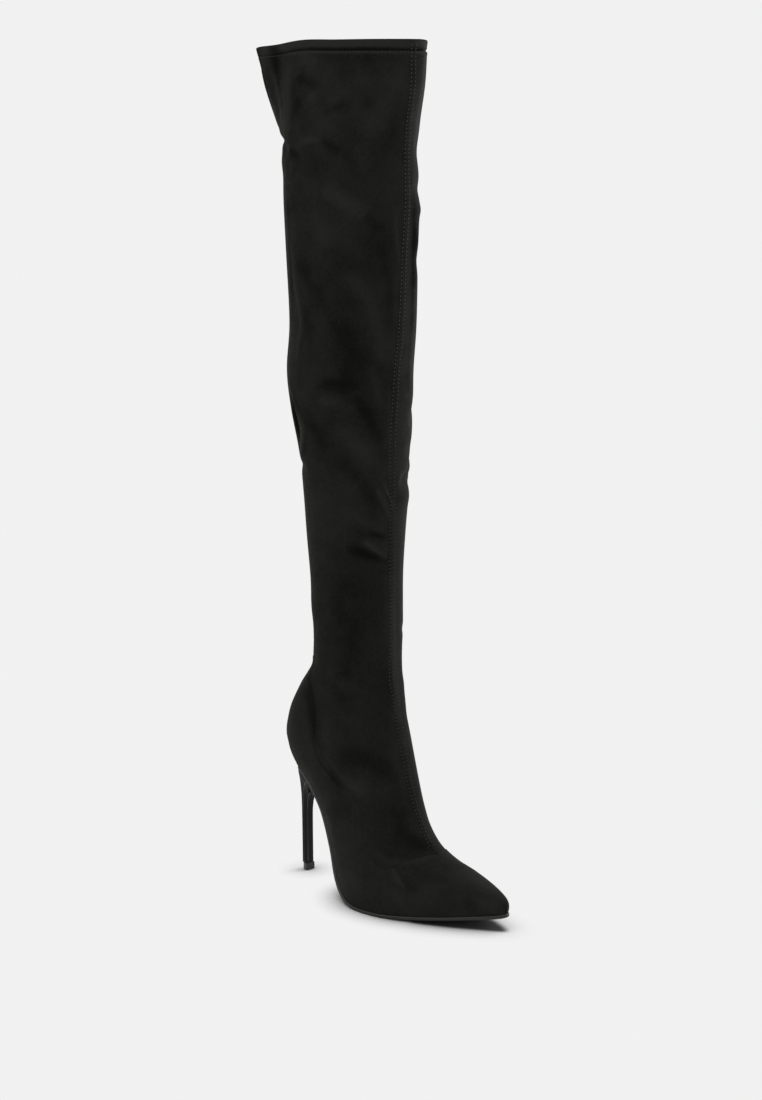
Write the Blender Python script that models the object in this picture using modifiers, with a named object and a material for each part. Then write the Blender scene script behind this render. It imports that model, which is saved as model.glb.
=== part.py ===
"""Over-the-knee boot with a slim high heel, right foot.

+X points to the toe, +Y to the inner (medial) side and +Z up. The origin is the centre of the
top lift's face on the floor. Tables are in millimetres; the mesh is in metres.

The upper is one surface of two numbers. t runs along the boot, from the toe tip (0) over the
heel seat's back (LEG_START) to the collar (LAST): each whole number is a row of the tables.
v runs round the section, from the outer edge (-1) over the ridge or shin (0) to the inner edge
(1). In the foot both edges lie on the feather line, where the sole closes the upper. From the
back of the seat up they meet on the back line.
"""

import math

import bmesh
import bpy
import numpy as np
from mathutils import Matrix, Vector

MM = 0.001

WALL = 1.8  # upper's wall
GAP = 0.3  # between pieces that meet
SOLE_THICKNESS = 2.8
SOLE_MARGIN = 0.7  # sole's edge beyond the feather line
INSOLE_THICKNESS = 1.5
INSOLE_MARGIN = -2.6

HEM_STEP = 0.6  # folded band at the collar
HEM_SHARE = 0.32  # its height, in t
HEM_EDGE = 0.02  # its step's height, in t
SEAM_STEP = 0.5  # raised seam down the front
SEAM_HALF = 1.3
PUMP_STEP = 0.7  # shoe part laid over the stretch shaft
PUMP_RAMP = 3.0
TUCK_END = 26.0  # t where the shaft is back at its full size
TUCK_FADE = 4.0  # in t, below that
ANKLE_RINGS = 6  # rows of the leg that have a ring at each half as well
SIDE_COLUMNS = 7  # columns before the zip's line, and after it
NARROWEST = 0.03  # most of v that the seam's or the slot's half width takes at the toe

ZIP_TOP = 24.4  # t at both ends of the zip
ZIP_FOOT = 18.0
ZIP_HALF = 3.2  # half the slot's width
SLIDER_AT = 24.16

# The foot, from the toe tip to the back of the heel seat. edge_out, edge_in: y of the feather
# line. ridge: its top line. belly_out, belly_in: y of the widest place. full: under 1 for a
# fuller ridge. pump: where round the section the shoe part's edge runs.
FOOT_COLUMNS = (
    "base_x", "base_z", "edge_out", "edge_in", "ridge_x", "ridge_z", "ridge_y",
    "belly_out", "belly_in", "full", "pump",
)
FOOT = (
    (227.0, 15.4, 11.0, 11.0, 228.0, 20.5, 11.0, 11.0, 11.0, 0.95, -0.30),
    (225.0, 15.0, 6.2, 15.2, 226.4, 25.0, 10.8, 5.6, 16.0, 0.92, -0.30),
    (217.5, 13.6, 1.2, 19.2, 220.0, 29.8, 10.0, 0.2, 20.6, 0.90, -0.30),
    (200.0, 10.8, -8.6, 24.8, 204.5, 36.2, 8.5, -10.0, 26.6, 0.90, -0.30),
    (178.0, 7.8, -20.8, 30.4, 182.5, 42.6, 6.8, -22.8, 32.6, 0.92, -0.25),
    (152.0, 5.0, -33.0, 34.6, 159.5, 48.8, 5.0, -35.2, 36.6, 0.95, -0.06),
    (126.0, 3.0, -41.6, 35.8, 142.4, 59.8, 3.4, -43.8, 37.6, 0.95, 0.49),
    (104.0, 2.9, -43.4, 32.6, 132.0, 76.5, 2.2, -45.8, 36.0, 0.92, 0.56),
    (86.0, 6.6, -39.4, 27.0, 126.8, 93.2, 1.4, -43.4, 34.8, 0.90, 0.555),
    (71.0, 17.8, -33.0, 22.0, 123.2, 109.5, 0.8, -39.0, 34.0, 0.88, 0.52),
    (57.0, 40.5, -25.6, 19.0, 119.6, 126.0, 0.4, -36.0, 33.6, 0.86, 0.50),
    (42.0, 66.5, -20.8, 18.4, 116.6, 142.0, 0.1, -34.0, 33.2, 0.85, 0.61),
    (28.0, 84.0, -19.0, 19.4, 114.6, 155.5, 0.0, -32.6, 32.6, 0.84, 0.68),
    (17.0, 91.4, -16.2, 17.8, 113.0, 167.5, 0.0, -32.0, 32.2, 0.84, 0.69),
    (6.4, 96.0, -13.2, 14.8, 111.8, 177.5, 0.0, -31.8, 32.0, 0.84, 0.66),
    (-1.4, 97.9, -9.2, 9.8, 111.0, 185.5, 0.0, -31.8, 32.0, 0.84, 0.61),
    (-4.2, 98.2, 0.0, 0.0, 110.4, 192.5, 0.0, -31.8, 32.0, 0.84, 0.56),
)

# The ankle and shaft, from the counter to the collar, with the same column names. The base is
# the back line here and the ridge is the shin.
LEG_COLUMNS = (
    "base_x", "base_z", "ridge_x", "ridge_z", "belly_out", "belly_in", "full", "pump",
)
LEG = (
    (-11.8, 110.0, 109.4, 198.5, -32.2, 32.4, 0.85, 0.530),
    (-14.5, 126.0, 108.6, 205.5, -32.8, 33.0, 0.86, 0.515),
    (-9.0, 148.0, 107.8, 213.5, -33.8, 34.0, 0.88, 0.535),
    (6.0, 172.0, 106.8, 223.5, -35.0, 35.2, 0.92, 0.610),
    (22.0, 194.0, 106.0, 236.0, -35.8, 36.2, 0.96, 0.690),
    (25.6, 226.0, 105.2, 254.0, -36.8, 37.2, 1.0, 1.15),
    (23.8, 270.0, 105.0, 283.0, -38.2, 38.4, 1.0, 1.5),
    (21.0, 310.0, 106.8, 315.0, -40.6, 40.6, 1.0, 1.5),
    (19.4, 345.0, 109.2, 347.0, -43.0, 43.0, 1.0, 1.5),
    (16.6, 380.0, 110.6, 381.0, -45.8, 45.8, 1.0, 1.5),
    (7.8, 420.0, 112.2, 420.0, -49.6, 49.6, 1.0, 1.5),
    (3.4, 451.0, 113.2, 451.0, -50.4, 50.4, 1.0, 1.5),
    (6.6, 490.0, 117.5, 490.0, -49.6, 49.6, 1.0, 1.5),
    (3.0, 546.0, 120.0, 546.0, -49.8, 49.8, 1.0, 1.5),
    (0.2, 590.0, 122.4, 590.0, -50.0, 50.0, 1.0, 1.5),
    (-1.0, 628.0, 121.6, 628.0, -48.4, 48.4, 1.0, 1.5),
    (-8.5, 650.0, 125.6, 651.0, -47.6, 47.6, 1.0, 1.5),
    (-27.5, 680.0, 135.8, 683.0, -44.0, 44.0, 1.0, 1.5),
    (-42.2, 709.5, 140.8, 716.0, -40.5, 40.5, 1.0, 1.5),
)

LEG_START = len(FOOT) - 1
LAST = LEG_START + len(LEG)

# The zip's line: columns t, and how far round the inner side it lies there.
ZIP_LINE = (
    (0.0, 0.45), (16.0, 0.45), (17.0, 0.44), (18.0, 0.42), (19.0, 0.43), (20.0, 0.46),
    (21.0, 0.50), (22.0, 0.515), (24.5, 0.50), (35.0, 0.50),
)

# The heel, from the seat down to the top lift. The columns are: share of the way down, share
# of the way from the seat's outline to the stem's, and the stem's radius there.
HEEL = (
    (0.00, 0.00, 5.6),
    (0.03, 0.07, 5.6),
    (0.07, 0.30, 5.5),
    (0.13, 0.56, 5.3),
    (0.21, 0.79, 5.1),
    (0.31, 0.94, 4.9),
    (0.42, 0.99, 4.8),
    (0.56, 1.00, 4.75),
    (0.75, 1.00, 4.7),
    (1.00, 1.00, 4.7),
)
HEEL_RINGS = 24
BREAST_AT = 11.8  # t where the heel's front face meets the sole
BREAST_ANGLE = 52.0  # degrees between +X and the stem's front corners
STEM_FLAT = 0.62  # stem's flat front face, as a share of its radius
STEM_X = -1.2  # stem's centre, a little behind the top lift's
SEAT_MARGIN = 0.2  # heel's top edge beyond the feather line
LIFT_HEIGHT = 6.5
LIFT_RADIUS = 4.8
LIFT_EDGES = ((0.0, -0.35), (0.4, 0.0), (6.2, 0.0), (6.5, -0.25))  # height, change of radius
SEAT_POINTS = 9  # on each side of the heel's outline, and between its front corners
BREAST_POINTS = 3

# The zip's chain, then its slider and pull in a frame of their own: x along the hinge, y
# outward and z up.
CHAIN_THICKNESS = 1.2
CHAIN_SUNK = 0.3  # its face under the upper's
CHAIN_CLEARANCE = 0.5  # to each side of the slot
CHAIN_ENDS = (0.10, 0.03)  # clearance in t at its foot and its top
SLIDER_LENGTH = 9.5
SLIDER_HEIGHT = 2.0
SLIDER_HEAD = 6.6  # width at the top, narrowing to the foot
SLIDER_FOOT = 4.8
SLIDER_ROUND = 0.5
BAIL_REACH = 3.0  # from the arch's middle to its legs
BAIL_CORNER = 0.7
BAIL_OUT = (1.0, 3.3, 4.3, 4.7)  # a leg's root, its top, the corner and the arch's middle
BAIL_UP = 0.3  # arch's middle over the slider's middle
BAIL_BAR = 1.0
PULL_LENGTH = 34.0
PULL_HALF = 2.6
PULL_THICKNESS = 1.2
PULL_BAR = 1.2  # bar over the window, round which the pull turns
PULL_WINDOW = 7.4
PULL_SLOT = 2.3  # window's width
PULL_WAVE = 0.6
PULL_STRAIGHT = 0.25  # straight share of its length, beside the window
PULL_OUT = 3.15  # hinge's place in the slider's frame
PULL_UP = -1.15


# ---------------------------------------------------------------- scene and materials

def clear_scene():
    for obj in list(bpy.data.objects):
        bpy.data.objects.remove(obj, do_unlink=True)


def new_collection(name):
    collection = bpy.data.collections.new(name)
    bpy.context.scene.collection.children.link(collection)
    return collection


def material(name, colour, roughness, metallic=0.0):
    made = bpy.data.materials.new(name)
    made.use_nodes = True
    shader = made.node_tree.nodes["Principled BSDF"]
    shader.inputs["Base Color"].default_value = (*colour, 1.0)
    shader.inputs["Roughness"].default_value = roughness
    shader.inputs["Metallic"].default_value = metallic
    made.diffuse_color = (*colour, 1.0)
    return made


# ---------------------------------------------------------------- the upper's surface

def smooth(values, t):
    """Cubic curve through the values at t = 0, 1, 2 and so on, its slopes taken from the neighbours."""
    values = np.asarray(values, float)
    t = np.clip(t, 0, len(values) - 1)
    i = np.minimum(t.astype(int), len(values) - 2)
    u = t - i
    slope = np.gradient(values)
    start = values[i] * (2 * u**3 - 3 * u**2 + 1) + slope[i] * (u**3 - 2 * u**2 + u)
    end = values[i + 1] * (3 * u**2 - 2 * u**3) + slope[i + 1] * (u**3 - u**2)
    return start + end


def column_of(name):
    """One named column over the foot's rows and the leg's rows."""
    foot = [row[FOOT_COLUMNS.index(name)] for row in FOOT]
    if name in LEG_COLUMNS:
        return foot + [row[LEG_COLUMNS.index(name)] for row in LEG]
    return foot + [0.0] * len(LEG)


def foot_at(name, t):
    """A foot column at t, with no part of the leg in its curve."""
    return smooth([row[FOOT_COLUMNS.index(name)] for row in FOOT], t)


def feather(t):
    """Centre of the feather line: x, and z kept over the level where the sole lies flat."""
    floor_level = SOLE_THICKNESS + GAP
    return foot_at("base_x", t), np.maximum(foot_at("base_z", t), floor_level)


def section(t, v):
    """Point of the smooth upper, in mm.

    Each section lies in the plane through its base and its ridge. From the edge it follows an
    ellipse arc, widest at the belly, to the ridge. The arc starts where its width equals the
    feather line's, so that the section is cut off flat by the sole, and is whole in the leg.
    """
    t, v = np.broadcast_arrays(t, v)
    in_foot = t <= LEG_START
    foot_x, foot_z = feather(t)
    base_x = np.where(in_foot, foot_x, smooth(column_of("base_x"), t))
    base_z = np.where(in_foot, foot_z, smooth(column_of("base_z"), t))
    ridge_x, ridge_y, ridge_z = (smooth(column_of(f"ridge_{axis}"), t) for axis in "xyz")
    full = smooth(column_of("full"), t)
    outer = v < 0
    edge = np.where(outer, foot_at("edge_out", t), foot_at("edge_in", t)) - ridge_y
    belly = np.where(
        outer, smooth(column_of("belly_out"), t), smooth(column_of("belly_in"), t)
    ) - ridge_y
    edge = np.where(in_foot, edge, 0.0)
    belly = np.where(np.abs(belly) < 1e-6, 1e-6, belly)
    first = np.arcsin(np.clip(edge / belly, 0, 1) ** (1 / full))
    turn = first + (math.pi - first) * (1 - np.abs(v))
    rise = (np.cos(first) - np.cos(turn)) / (1 + np.cos(first))
    return np.stack([
        base_x + (ridge_x - base_x) * rise,
        ridge_y + belly * np.clip(np.sin(turn), 0, 1) ** full,
        base_z + (ridge_z - base_z) * rise,
    ], axis=-1)


def outward(t, v):
    """Unit normal of the smooth upper, pointing out."""
    step = 1e-3
    along = section(np.clip(t + step, 0, LAST), v) - section(np.clip(t - step, 0, LAST), v)
    inside = np.clip(v, -0.995, 0.995)
    across = section(t, inside + step) - section(t, inside - step)
    normal = np.cross(across, along)
    return normal / np.maximum(np.linalg.norm(normal, axis=-1, keepdims=True), 1e-9)


def half_girth(t):
    """Length of the section from ridge to edge, the mean of both sides, in mm."""
    v = np.linspace(-1, 1, 81)
    ring = section(np.atleast_1d(t)[:, None], v[None, :])
    return np.linalg.norm(np.diff(ring, axis=1), axis=-1).sum(axis=1) / 2


def ramp(x):
    """0 below 0, 1 above 1, smooth between."""
    x = np.clip(x, 0, 1)
    return x * x * (3 - 2 * x)


def raised(t, v, girth):
    """Height of the hem and the front seam over the smooth upper, in mm, and the depth to which
    the shaft is tucked under the shoe part's edge."""
    from_front = np.abs(v) * girth
    pump = ramp((np.abs(v) - smooth(column_of("pump"), t)) * girth / PUMP_RAMP + 0.5)
    tuck = (1 - pump) * ramp((TUCK_END - t) / TUCK_FADE)
    seam = ramp(2 - from_front / SEAM_HALF) * (1 - pump)
    hem = ramp((t - (LAST - HEM_SHARE)) / HEM_EDGE)
    return SEAM_STEP * seam + HEM_STEP * hem - PUMP_STEP * tuck


def upper_point(t, v, girth):
    return section(t, v) + outward(t, v) * raised(t, v, girth)[..., None]


def zip_round(t):
    """How far round the inner side the zip lies at t."""
    t_rows, v_rows = zip(*ZIP_LINE)
    return np.interp(t, t_rows, v_rows)


# ---------------------------------------------------------------- meshes from grids

def grid_object(name, points, surface, collection, missing=()):
    """Open surface through a grid of points in mm, with touching points merged."""
    rows, columns = points.shape[:2]
    mesh = bpy.data.meshes.new(name)
    faces = [
        (i * columns + j, i * columns + j + 1, (i + 1) * columns + j + 1, (i + 1) * columns + j)
        for i in range(rows - 1)
        for j in range(columns - 1)
        if (i, j) not in missing
    ]
    mesh.from_pydata((points.reshape(-1, 3) * MM).tolist(), [], faces)
    work = bmesh.new()
    work.from_mesh(mesh)
    bmesh.ops.remove_doubles(work, verts=work.verts, dist=1e-6)
    bmesh.ops.dissolve_degenerate(work, edges=work.edges, dist=1e-7)
    loose = [vert for vert in work.verts if not vert.link_faces]
    bmesh.ops.delete(work, geom=loose, context="VERTS")
    work.to_mesh(mesh)
    work.free()
    return finish_object(name, mesh, surface, collection)


def finish_object(name, mesh, surface, collection):
    mesh.materials.append(surface)
    mesh.shade_smooth()
    mesh.set_sharp_from_angle(angle=math.radians(40))
    obj = bpy.data.objects.new(name, mesh)
    collection.objects.link(obj)
    return obj


def thicken(obj, thickness, side):
    """Wall added on one side of an open surface: side 1 along its normals, -1 against them."""
    solid = obj.modifiers.new("wall", "SOLIDIFY")
    solid.thickness = thickness * MM
    solid.offset = side
    solid.use_even_offset = True
    solid.thickness_clamp = 0
    return obj


# ---------------------------------------------------------------- upper

def rings():
    """t of every ring: close in the foot, one a row in the leg, two at the hem's lower edge."""
    close = np.arange(0, LEG_START + ANKLE_RINGS, 0.5)
    leg = np.arange(LEG_START + ANKLE_RINGS, LAST)
    hem = LAST - HEM_SHARE
    ends = [ZIP_FOOT, ZIP_TOP, hem, hem + HEM_EDGE, LAST]
    return np.unique(np.concatenate([close, leg, ends]))


def half_columns(t, girth):
    """|v| of one side's columns: the seam's two, an even run, the zip's two, an even run."""
    seam = np.minimum(SEAM_HALF / girth, NARROWEST)
    slot = np.minimum(ZIP_HALF / girth, NARROWEST)
    centre = zip_round(t)
    before = np.linspace(2 * seam, centre - slot, SIDE_COLUMNS)
    after = np.linspace(centre + slot, np.ones_like(centre), SIDE_COLUMNS)
    return np.stack([seam * 0, seam, *before, *after], axis=1)


def upper(surface, collection):
    t = rings()
    girth = half_girth(t)
    inner = half_columns(t, girth)
    v = np.concatenate([-inner[:, :0:-1], inner], axis=1)
    points = upper_point(t[:, None], v, girth[:, None])
    centre_column = inner.shape[1] - 1
    slot_column = centre_column + 1 + SIDE_COLUMNS
    slot = {
        (i, slot_column) for i in range(len(t) - 1) if ZIP_FOOT <= t[i] and t[i + 1] <= ZIP_TOP
    }
    return thicken(grid_object("upper", points, surface, collection, slot), WALL, -1)


# ---------------------------------------------------------------- sole, insole

def edge_line(t, name, margin):
    """One edge of the feather line moved out by a margin, in mm, within the sole's own plane."""
    x, z = feather(t)
    y = foot_at(name, t)
    run = np.hypot(np.gradient(x, t), np.gradient(z, t))
    along = np.stack([np.gradient(x, t), np.zeros_like(x), np.gradient(z, t)], axis=-1)
    along /= np.maximum(run, 1e-9)[:, None]
    slope = np.gradient(y, t)
    side = -1.0 if name == "edge_out" else 1.0
    length = np.hypot(run, slope)
    out_along = -side * slope / length
    out_across = side * run / length
    first, last = t <= 0, t >= LEG_START
    out_along = np.where(first, -1.0, np.where(last, 1.0, out_along))
    out_across = np.where(first | last, 0.0, out_across)
    moved = np.stack([x, y, z], axis=-1) + margin * out_along[:, None] * along
    moved[:, 1] += margin * out_across
    return moved


def plate_normal(t):
    """Direction square to the feather line's plane, pointing up."""
    x, z = feather(t)
    normal = np.stack([np.gradient(z, t), np.zeros_like(x), -np.gradient(x, t)], axis=-1)
    return normal / np.linalg.norm(normal, axis=-1, keepdims=True)


def sole_plate(t, margin, lift, across=7):
    """Grid between both edges, lifted square to its own plane by lift mm."""
    outer = edge_line(t, "edge_out", margin)
    inner = edge_line(t, "edge_in", margin)
    share = np.linspace(0, 1, across)[None, :, None]
    plate = outer[:, None] * (1 - share) + inner[:, None] * share
    return plate + lift * plate_normal(t)[:, None]


def outsole(surface, collection):
    t = np.arange(0, LEG_START + 0.01, 0.5)
    plate = sole_plate(t, SOLE_MARGIN, -GAP)
    return thicken(grid_object("outsole", plate, surface, collection), SOLE_THICKNESS, -1)


def insole(surface, collection):
    t = np.arange(1.5, LEG_START + 0.01, 0.5)
    plate = sole_plate(t, INSOLE_MARGIN, 0.0)
    return thicken(grid_object("insole", plate, surface, collection), INSOLE_THICKNESS, 1)


# ---------------------------------------------------------------- heel

def stem_ring(radius, centre_x, z):
    """Round stem with a flat front, its points in the order of the seat's outline."""
    corner = math.radians(BREAST_ANGLE)
    outer = np.linspace(-corner, -math.pi, SEAT_POINTS)
    inner = -outer[-2::-1]
    angle = np.concatenate([outer, inner])
    x = np.minimum(radius * np.cos(angle), STEM_FLAT * radius)
    y = radius * np.sin(angle)
    ring = np.stack([centre_x + x, y, np.full_like(x, z)], axis=-1)
    return np.concatenate([ring, breast_line(ring[-1], ring[0])])


def breast_line(start, end):
    """Points between the front corners, left open at both ends."""
    share = np.linspace(0, 1, BREAST_POINTS + 2)[1:-1, None]
    return start + (end - start) * share


def seat_ring():
    """Heel's top outline, against the underside of the sole."""
    t = np.linspace(BREAST_AT, LEG_START, SEAT_POINTS)
    below = plate_normal(t) * -(SOLE_THICKNESS + 2 * GAP)
    outer = edge_line(t, "edge_out", SEAT_MARGIN) + below
    inner = edge_line(t, "edge_in", SEAT_MARGIN) + below
    ring = np.concatenate([outer, inner[-2::-1]])
    return np.concatenate([ring, breast_line(ring[-1], ring[0])])


def loft(rings, name, surface, collection):
    """Closed solid through rings of points in mm, in the seat's order, its ends capped across."""
    count = rings[0].shape[0]
    faces = [
        (k * count + i, k * count + (i + 1) % count,
         (k + 1) * count + (i + 1) % count, (k + 1) * count + i)
        for k in range(len(rings) - 1)
        for i in range(count)
    ]
    last = 2 * SEAT_POINTS - 2
    strips = [(i, last - i, last - i - 1, i + 1) for i in range(SEAT_POINTS - 1)]
    strips[-1] = strips[-1][:2] + strips[-1][3:]
    front = (*range(last, count), 0)
    base = (len(rings) - 1) * count
    caps = [*strips, front[::-1]]
    faces += caps
    faces += [tuple(base + i for i in face[::-1]) for face in caps]
    mesh = bpy.data.meshes.new(name)
    mesh.from_pydata((np.concatenate(rings) * MM).tolist(), [], faces)
    work = bmesh.new()
    work.from_mesh(mesh)
    bmesh.ops.recalc_face_normals(work, faces=work.faces)
    work.to_mesh(mesh)
    work.free()
    return finish_object(name, mesh, surface, collection)


def heel(surface, collection):
    """Rings on smooth curves through the heel table's rows. A ring starts as steep as the
    seat, and is level once it has closed to the stem."""
    seat = seat_ring()
    back_z = seat[:, 2].max()
    foot_z = LIFT_HEIGHT + GAP
    places = np.linspace(0, len(HEEL) - 1, HEEL_RINGS)
    drops, closings, radii = (smooth(column, places) for column in zip(*HEEL))
    rings = []
    for drop, closed, radius in zip(drops, np.clip(closings, 0, 1), radii):
        stem = stem_ring(radius, STEM_X, foot_z)
        ring = seat * (1 - closed) + stem * closed
        level = back_z + (foot_z - back_z) * drop
        ring[:, 2] = level + (seat[:, 2] - back_z) * (1 - closed)
        rings.append(ring)
    return loft(rings, "heel", surface, collection)


def top_lift(surface, collection):
    rings = [stem_ring(LIFT_RADIUS + change, 0.0, z) for z, change in LIFT_EDGES]
    return loft(rings, "top_lift", surface, collection)


# ---------------------------------------------------------------- zip

def zip_chain(surface, collection):
    """Closed teeth on their tape, filling the upper's slot and set a little under its face."""
    t = np.linspace(ZIP_FOOT + CHAIN_ENDS[0], ZIP_TOP - CHAIN_ENDS[1], 24)
    girth = half_girth(t)
    half = (ZIP_HALF - CHAIN_CLEARANCE) / girth
    v = zip_round(t)[:, None] + half[:, None] * np.linspace(-1, 1, 5)
    points = upper_point(t[:, None], v, girth[:, None]) - CHAIN_SUNK * outward(t[:, None], v)
    return thicken(grid_object("zip_chain", points, surface, collection), CHAIN_THICKNESS, -1)


def slider_place():
    """Point on the zip's face under the slider, in mm, and the outward direction there."""
    t = np.array([[SLIDER_AT]])
    v = zip_round(t)
    girth = half_girth(t[0])[:, None]
    return upper_point(t, v, girth)[0, 0], Vector(outward(t, v)[0, 0])


def frame_at(point, out):
    """Matrix of a frame with x along the hinge, which is level, and y outward."""
    hinge = out.cross(Vector((0, 0, 1))).normalized()
    up = hinge.cross(out).normalized()
    turn = Matrix((hinge, out, up)).transposed().to_4x4()
    return Matrix.Translation(Vector(point) * MM) @ turn


def slider_body(surface, collection):
    mesh = bpy.data.meshes.new("zip_slider")
    work = bmesh.new()
    bmesh.ops.create_cube(work, size=1.0)
    for vert in work.verts:
        width = SLIDER_HEAD if vert.co.z > 0 else SLIDER_FOOT
        vert.co.x *= width * MM
        vert.co.y = (vert.co.y + 0.5) * SLIDER_HEIGHT * MM
        vert.co.z *= SLIDER_LENGTH * MM
    bmesh.ops.bevel(
        work, geom=work.edges, offset=SLIDER_ROUND * MM, segments=2, affect="EDGES", clamp_overlap=True
    )
    work.to_mesh(mesh)
    work.free()
    return finish_object("zip_slider", mesh, surface, collection)


def bail(surface, helpers):
    """Wire arch on the slider, under which the pull's top bar lies."""
    root, leg_top, corner, middle = BAIL_OUT
    inside = BAIL_REACH - BAIL_CORNER
    lower = ((root, -BAIL_REACH), (leg_top, -BAIL_REACH), (corner, -inside))
    upper_half = tuple((out, -up) for out, up in lower[::-1])
    path = (*lower, (middle, 0.0), *upper_half)
    curve = bpy.data.curves.new("bail", "CURVE")
    curve.dimensions = "3D"
    curve.bevel_depth = BAIL_BAR / 2 * MM
    curve.bevel_resolution = 2
    curve.use_fill_caps = True
    line = curve.splines.new("POLY")
    line.points.add(len(path) - 1)
    for point, (out, up) in zip(line.points, path):
        point.co = (0.0, out * MM, (up + BAIL_UP) * MM, 1.0)
    mesh = mesh_of_curve(curve)
    obj = finish_object("bail", mesh, surface, helpers)
    obj.hide_render = True
    obj.display_type = "WIRE"
    return obj


def mesh_of_curve(curve):
    """Closed mesh of a curve, its caps welded on. The curve is removed."""
    guide = bpy.data.objects.new(curve.name, curve)
    bpy.context.scene.collection.objects.link(guide)
    graph = bpy.context.evaluated_depsgraph_get()
    mesh = bpy.data.meshes.new_from_object(guide.evaluated_get(graph))
    bpy.data.objects.remove(guide, do_unlink=True)
    work = bmesh.new()
    work.from_mesh(mesh)
    bmesh.ops.remove_doubles(work, verts=work.verts, dist=1e-6)
    bmesh.ops.recalc_face_normals(work, faces=work.faces)
    work.to_mesh(mesh)
    work.free()
    mesh.materials.clear()
    return mesh


def zip_slider(surface, collection, helpers):
    point, out = slider_place()
    place = frame_at(point + np.array(out) * GAP, out)
    body = slider_body(surface, collection)
    arch = bail(surface, helpers)
    body.matrix_world = place
    arch.matrix_world = place
    union = body.modifiers.new("bail", "BOOLEAN")
    union.operation = "UNION"
    union.solver = "EXACT"
    union.object = arch
    return body


def pull_outline():
    """Right and left sides of the tab, which waves below its window."""
    depth = np.linspace(0, 1, 15)
    centre = PULL_WAVE * np.sin(2 * math.pi * ramp((depth - PULL_STRAIGHT) / (1 - PULL_STRAIGHT)))
    z = PULL_BAR / 2 - depth * PULL_LENGTH
    side = np.stack([centre + PULL_HALF, z], axis=-1)
    other = np.stack([centre - PULL_HALF, z], axis=-1)
    return np.concatenate([side, other[::-1]])


def zip_pull(surface, collection):
    """Flat tab with a window at its top, hung plumb from the slider's bail."""
    curve = bpy.data.curves.new("zip_pull", "CURVE")
    curve.dimensions = "2D"
    curve.fill_mode = "BOTH"
    curve.extrude = PULL_THICKNESS / 2 * MM
    top = -PULL_BAR / 2
    foot = top - PULL_WINDOW
    half = PULL_SLOT / 2
    window = np.array([(half, top), (half, foot), (-half, foot), (-half, top)])
    for outline in (pull_outline(), window):
        line = curve.splines.new("POLY")
        line.points.add(len(outline) - 1)
        for point, (x, z) in zip(line.points, outline):
            point.co = (x * MM, z * MM, 0.0, 1.0)
        line.use_cyclic_u = True
    mesh = mesh_of_curve(curve)
    mesh.transform(Matrix.Rotation(math.radians(90), 4, "X"))
    tab = finish_object("zip_pull", mesh, surface, collection)
    point, out = slider_place()
    level = Vector((out.x, out.y, 0)).normalized()
    seat = frame_at(point + np.array(out) * GAP, out)
    hinge = seat @ Vector((0, PULL_OUT * MM, PULL_UP * MM))
    pivot = bpy.data.objects.new("pull_hinge", None)
    pivot.empty_display_size = 0.01
    collection.objects.link(pivot)
    pivot.matrix_world = frame_at(hinge / MM, level)
    tab.parent = pivot
    return tab


# ---------------------------------------------------------------- boot

def build():
    clear_scene()
    boot = new_collection("over_the_knee_boot")
    helpers = new_collection("cutters")
    suede = material("suede", (0.012, 0.013, 0.012), 0.92)
    lining = material("lining", (0.05, 0.045, 0.04), 0.7)
    rubber = material("sole rubber", (0.03, 0.03, 0.03), 0.6)
    gloss = material("heel gloss", (0.006, 0.006, 0.006), 0.12)
    tip = material("lift rubber", (0.06, 0.06, 0.06), 0.55)
    teeth = material("zip teeth", (0.015, 0.015, 0.015), 0.5)
    metal = material("zip metal", (0.72, 0.68, 0.6), 0.28, 1.0)
    upper(suede, boot)
    insole(lining, boot)
    outsole(rubber, boot)
    heel(gloss, boot)
    top_lift(tip, boot)
    zip_chain(teeth, boot)
    zip_slider(metal, boot, helpers)
    zip_pull(metal, boot)


build()
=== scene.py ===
"""Over-the-knee boot with a slim high heel, right foot: suede, stitches, lining, zip, sole, heel.

+X points to the toe, +Y to the inner side and +Z up, with the origin under the heel. Tables are
in millimetres; MM turns them into metres. The upper is a surface of two numbers: t runs from
the toe tip (0) over the heel seat's back (LEG_START) to the collar (LAST), and v runs round the
section from the outer edge or back line (-1) over the ridge or shin (0) to the inner one (1).
"""
import math

import bmesh
import bpy
import numpy as np
from mathutils import Matrix, Vector


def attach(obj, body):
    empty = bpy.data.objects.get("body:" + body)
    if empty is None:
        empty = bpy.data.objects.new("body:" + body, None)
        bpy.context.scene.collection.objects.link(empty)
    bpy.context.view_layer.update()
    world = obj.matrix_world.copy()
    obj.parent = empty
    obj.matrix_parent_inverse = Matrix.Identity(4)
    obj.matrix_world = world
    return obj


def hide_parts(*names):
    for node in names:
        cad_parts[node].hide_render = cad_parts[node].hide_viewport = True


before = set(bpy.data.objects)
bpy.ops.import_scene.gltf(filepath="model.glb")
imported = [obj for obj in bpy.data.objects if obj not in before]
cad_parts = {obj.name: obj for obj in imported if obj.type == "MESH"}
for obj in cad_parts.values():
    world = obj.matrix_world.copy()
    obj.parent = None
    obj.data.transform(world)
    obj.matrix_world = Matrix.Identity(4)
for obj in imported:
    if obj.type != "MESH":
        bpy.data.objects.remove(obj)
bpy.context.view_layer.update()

MM = 0.001

# ---- sizes of the last and shaft

WALL = 1.8
GAP = 0.3
SOLE_THICKNESS = 2.8
FLOOR_LEVEL = SOLE_THICKNESS + GAP  # height of the feather line where the sole lies flat
HEM_DEPTH = 7.9  # folded band at the collar
HEM_PUFF = 0.8
TURNED_IN = 13.0  # hem inside the collar
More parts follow.
